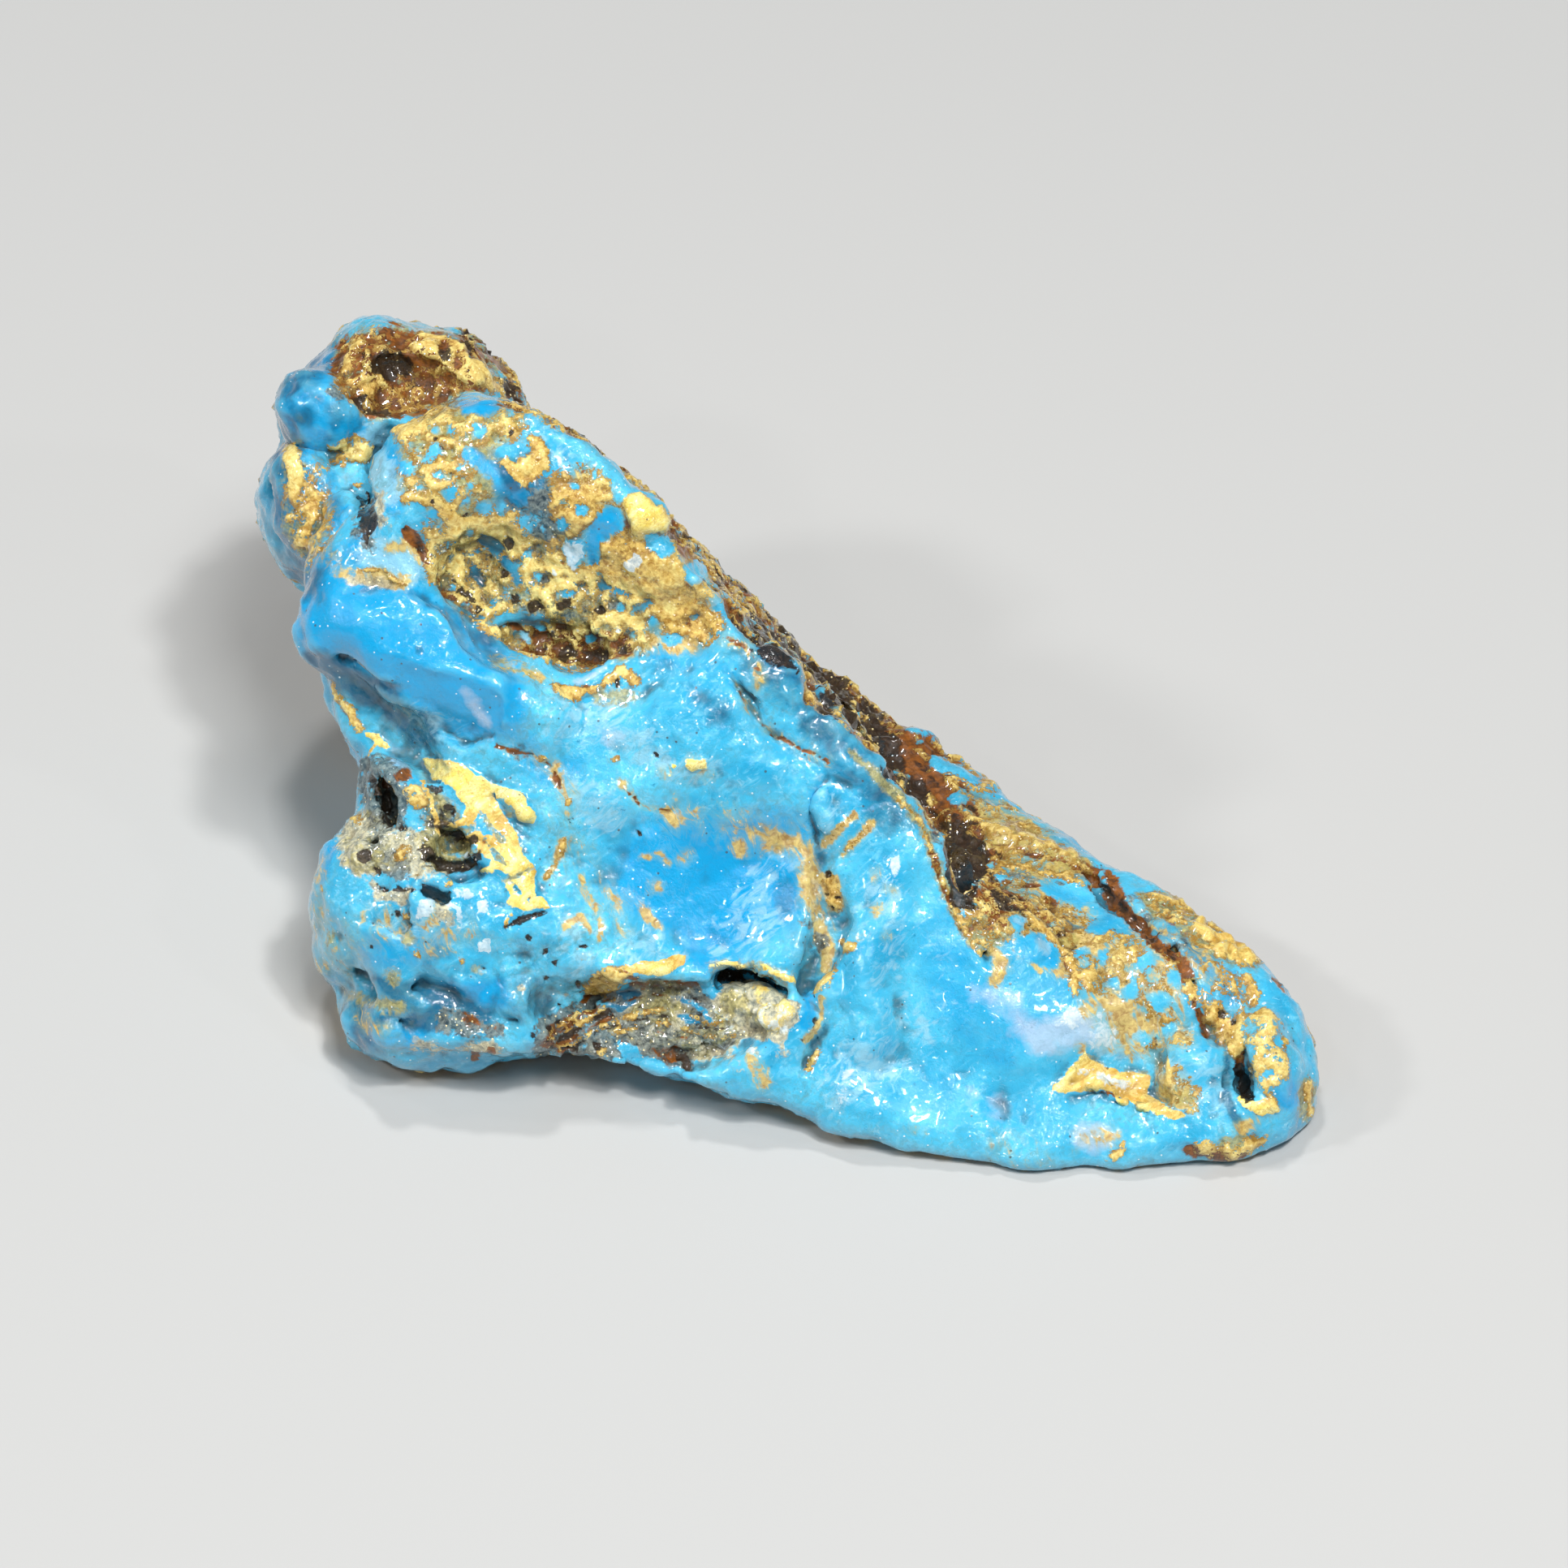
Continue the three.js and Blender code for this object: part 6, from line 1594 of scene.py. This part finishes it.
# ---------------------------------------------------------------- patterns, and layers broken up by them
in_mm = put("ShaderNodeVectorMath", put("ShaderNodeTexCoord").outputs["Object"], operation="SCALE")
in_mm.inputs["Scale"].default_value = 1000
mm = in_mm.outputs[0]
broad = grain(mm, 0.22, 3)
medium = grain(mm, 0.9, 4, 0.6)
cells = grain(mm, 2.1, 4, 0.6, 1.0)
fine = grain(mm, 3.2, 5, 0.65, 0.5)
chips = grain(moved((7.0, 3.0, 5.0)), 1.9, 5, 0.62, 0.8)
flecks = grain(moved((2.0, 9.0, 4.0)), 2.4, 5, 0.62, 0.6)
finest = grain(mm, 8.0, 3, 0.6)
net = maths("MULTIPLY_ADD", strand_net(1.5, 3.2), 0.5, times(cells, 0.6))
fibres = grain(along(0.5, (0.7, 1.6, 1.0)), 1.0, 5, 0.66, 1.1)
feathers = grain(along(-0.9, (0.7, 1.6, 1.0)), 1.0, 5, 0.62, 1.4)

crust, around, hollow, calm = layer("gold"), layer("around"), layer("hollow"), layer("calm")
gold = broken(crust, net, 1.5, 5)
thick = broken(crust, fine, 1.6, 2.4, 0.66)
plate = broken(layer("plate"), cells, 1.0, 6)
bright = broken(layer("bright"), cells, 0.9, 1.6, 0.45)
olive = broken(layer("olive"), flecks, 1.8, 2.2)
rust = broken(layer("rust"), chips, 1.6, 4)
dark = broken(layer("dark"), chips, 1.7, 5)
sand = broken(layer("sand"), flecks, 1.6, 3)
dusk = broken(layer("dusk"), flecks, 1.8, 4)
stain = broken(layer("stain"), fibres, 1.8, 1.4)
stain_core = broken(layer("stain"), fibres, 2.6, 3.6, 0.68)
white = broken(layer("white"), cells, 1.4, 5)
pale = broken(layer("pale"), feathers, 2.6, 2.0)
lilac = broken(layer("lilac"), medium, 1.4, 1.8)
azure = broken(layer("azure"), medium, 0.7, 1.6)
deep = broken(layer("deep"), medium, 1.0, 1.8)
crusty = maths("ADD", times(crust, 0.8), times(layer("sand"), 0.6), clamp=True)
crusty = maths("ADD", crusty, times(layer("dusk"), 0.6), clamp=True)


def laid_over(base, *coats):
    """Each coat is its mask and its colour, and lies over those before it."""
    for mask, colour in coats:
        base = mix(mask, base, colour)
    return base


def blue_stone():
    wisps = times(ramp(feathers, 4.6, -2.4), maths("MULTIPLY_ADD", calm, -0.6, 0.9))
    creases = times(veins(cells, 40.0), ramp(medium, 5.0, -2.4))
    threads = times(veins(fibres, 30.0), ramp(broad, 4.0, -2.0))
    grime = times(ramp(broad, 4.0, -1.5), ramp(flecks, 4.0, -1.7))
    grime = times(grime, maths("MULTIPLY_ADD", calm, -0.5, 0.6))
    return laid_over(
        two(broad, 3.0, srgb(40, 166, 212), srgb(88, 204, 240)),
        (wisps, srgb(120, 210, 240)),
        (ramp(flecks, -6.0, 2.3), srgb(30, 138, 182)),
        (ramp(chips, 6.0, -3.6), srgb(150, 220, 244)),
        (ramp(medium, -3.0, 1.15), srgb(24, 140, 188)),
        (times(azure, 0.92), srgb(4, 162, 222)),
        # the deep blue layer, with the painted shade that it carries in places
        (times(deep, 0.85), srgb(20, 86, 122)),
        (times(pale, 0.56), srgb(170, 216, 232)),
        (times(lilac, 0.7), srgb(190, 206, 228)),
        (times(creases, 0.4), srgb(36, 104, 124)),
        (times(threads, 0.25), srgb(186, 228, 240)),
        # painted shade in the hollows
        (ramp(hollow, 2.4, -1.6), srgb(28, 88, 112)),
        # painted light on the proud places
        (ramp(hollow, -1.4, 0.35), srgb(110, 208, 240)),
        (grime, srgb(92, 138, 140)))


def gold_crust():
    ochre = two(fine, 3.6, srgb(164, 118, 42), srgb(238, 204, 112))
    yellow = two(fine, 3.0, srgb(218, 178, 84), srgb(253, 240, 156))
    return laid_over(
        mix(bright, ochre, yellow),
        # painted shade round the thin edges of the crust, which rounds its strands
        (ramp(thick, -0.7, 0.7), srgb(140, 104, 38)),
        # painted light: the proud places of the crust turn yellow
        (ramp(hollow, -1.8, 0.66), yellow))


def gold_plates():
    dull = two(feathers, 4.0, srgb(204, 158, 66), srgb(244, 220, 128))
    shining = two(feathers, 4.0, srgb(248, 224, 108), srgb(255, 247, 172))
    return laid_over(mix(bright, dull, shining), (ramp(net, 3.0, -1.9), srgb(192, 150, 60)))


def crusts_over(blue):
    """Stains and crusts over the blue, from the thinnest to the thickest, the dark layer last, and painted
    shade over the hollows.
    """
    colour = laid_over(
        blue,
        (times(around, ramp(flecks, 1.6, -0.25)), srgb(96, 124, 104)),
        (times(stain, 0.5), srgb(164, 178, 118)),
        (times(stain_core, 0.85), two(cells, 3.0, srgb(176, 128, 46), srgb(238, 208, 116))),
        (times(sand, 0.85), two(fine, 3.4, srgb(134, 124, 98), srgb(246, 230, 180))),
        (times(dusk, 0.9), two(fine, 3.6, srgb(36, 48, 52), srgb(138, 148, 140))),
        (times(olive, 0.75), two(fine, 3.0, srgb(112, 104, 50), srgb(204, 190, 108))),
        (rust, two(chips, 2.8, srgb(36, 18, 4), srgb(158, 92, 24))),
        (gold, gold_crust()),
        (plate, gold_plates()),
        (times(white, 0.8), two(fine, 3.0, srgb(178, 206, 218), srgb(238, 246, 246))),
        # the dark layer: the stone's dark brown, and painted shade in places
        (times(dark, 0.95), two(fine, 3.2, srgb(12, 8, 5), srgb(62, 44, 26))))
    # painted shade: the hollows are darkened towards brown
    return mix(ramp(hollow, 2.4, -1.4), colour, mix(0.42, colour, srgb(44, 30, 10)))


def speckled(colour):
    """Scattered dark dots, golden glints on the crusts, and frosty ones everywhere."""
    glints = times(specks(3.4, 0.2, 0.66, 23.0), maths("GREATER_THAN", crusty, 0.3))
    return laid_over(
        colour,
        (times(specks(1.8, 0.14, 0.88, 3.0), 0.7), srgb(70, 62, 48)),
        (times(glints, 0.85), srgb(252, 232, 172)),
        (times(specks(2.2, 0.13, 0.7, 11.0), 0.8), srgb(226, 244, 248)))


def roughness():
    out = maths("MULTIPLY_ADD", medium, 0.16, 0.02)
    for mask, amount in ((pale, 0.10), (gold, 0.12), (plate, 0.12)):
        out = maths("ADD", out, times(mask, amount))
    matt = maths("ADD", rust, maths("ADD", sand, dusk), clamp=True)
    return maths("ADD", out, times(matt, 0.35), clamp=True)


def bumps():
    height = maths("MULTIPLY_ADD", fine, maths("MULTIPLY_ADD", crusty, 0.2, 0.3), times(gold, 0.7))
    height = maths("MULTIPLY_ADD", cells, maths("MULTIPLY_ADD", crusty, 0.4, 0.5), height)
    height = maths("MULTIPLY_ADD", finest, maths("MULTIPLY_ADD", crusty, 0.15, 0.08), height)
    height = maths("ADD", height, times(dark, -0.5))
    bump = put("ShaderNodeBump")
    bump.inputs["Strength"].default_value = 0.55
    bump.inputs["Distance"].default_value = 0.00020
    feed(bump.inputs["Height"], height)
    return bump.outputs[0]


def finish():
    """Waxy stone under a thin clear coat, which gives the crisp wet highlights."""
    shader = put("ShaderNodeBsdfPrincipled")
    feed(shader.inputs["Base Color"], speckled(crusts_over(blue_stone())))
    feed(shader.inputs["Roughness"], roughness())
    feed(shader.inputs["Normal"], bumps())
    shader.inputs["Specular IOR Level"].default_value = 0.5
    shader.inputs["Coat Weight"].default_value = 0.7
    shader.inputs["Coat Roughness"].default_value = 0.06
    out = put("ShaderNodeOutputMaterial")
    feed(out.inputs["Surface"], shader.outputs[0])


finish()
mesh.materials.append(material)
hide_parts("rough_stone")
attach(stone, "root")

# ---------------------------------------------------------------- floor, light and camera
FLOOR_HALF = 1.5                   # metres
FLOOR_COLOUR, FLOOR_ROUGHNESS = (0.50, 0.50, 0.49, 1), 0.8
SKY_COLOUR, SKY_STRENGTH = (0.92, 0.95, 1.0, 1), 0.11
AIM = Vector((0, 0, 0.012))        # what the lamps point at
LAMPS = [  # name, place in metres, size, power, whether it shows as a highlight
    ("key", (0.10, -0.26, 0.55), 0.15, 2.0, False),
    ("sparkle", (0.16, -0.20, 0.56), 0.05, 1.5, True),
    ("top", (-0.06, 0.20, 0.58), 0.06, 1.1, True),
    ("left", (-0.42, -0.10, 0.36), 0.05, 0.7, True),
]
GLINTS = [(-0.30, -0.32, 0.42), (-0.12, -0.42, 0.38), (0.02, -0.12, 0.60), (0.34, -0.26, 0.40),
          (-0.34, 0.08, 0.46)]
GLINT_SIZE, GLINT_POWER = 0.03, 0.12


def pale_floor():
    corner = FLOOR_HALF
    floor_mesh = bpy.data.meshes.new("floor")
    floor_mesh.from_pydata([(-corner, -corner, 0), (corner, -corner, 0), (corner, corner, 0),
                            (-corner, corner, 0)], [], [(0, 1, 2, 3)])
    floor = bpy.data.objects.new("floor", floor_mesh)
    bpy.context.scene.collection.objects.link(floor)
    paper = bpy.data.materials.new("floor")
    paper.use_nodes = True
    shader = paper.node_tree.nodes["Principled BSDF"]
    shader.inputs["Base Color"].default_value = FLOOR_COLOUR
    shader.inputs["Roughness"].default_value = FLOOR_ROUGHNESS
    floor_mesh.materials.append(paper)
    return floor


def soft_sky():
    world = bpy.data.worlds.new("studio")
    bpy.context.scene.world = world
    world.use_nodes = True
    background = world.node_tree.nodes["Background"]
    background.inputs["Color"].default_value = SKY_COLOUR
    background.inputs["Strength"].default_value = SKY_STRENGTH


def lamp(name, place, size, power, shines):
    data = bpy.data.lights.new(name, "AREA")
    data.shape = "SQUARE"
    data.size = size
    data.energy = power
    o = bpy.data.objects.new(name, data)
    o.location = place
    o.visible_glossy = shines
    o.rotation_euler = (AIM - Vector(place)).to_track_quat("-Z", "Y").to_euler()
    bpy.context.scene.collection.objects.link(o)


def camera_at_eye():
    camera = bpy.data.objects.new("camera", bpy.data.cameras.new("camera"))
    camera.data.sensor_width = 36
    camera.data.lens = camera.data.sensor_width / 2 / (HALF_VIEW / EYE[2])
    camera.data.clip_start, camera.data.clip_end = 0.02, 20
    camera.location = to_part(*EYE)
    look = to_part(EYE[0], EYE[1], 0) - camera.location
    camera.rotation_euler = look.to_track_quat("-Z", "Y").to_euler()
    bpy.context.scene.collection.objects.link(camera)
    bpy.context.scene.camera = camera


floor = pale_floor()
soft_sky()
for row in LAMPS:
    lamp(*row)
for n, place in enumerate(GLINTS):
    lamp(f"glint {n}", place, GLINT_SIZE, GLINT_POWER, True)
camera_at_eye()
bpy.context.scene.view_settings.view_transform = "Standard"
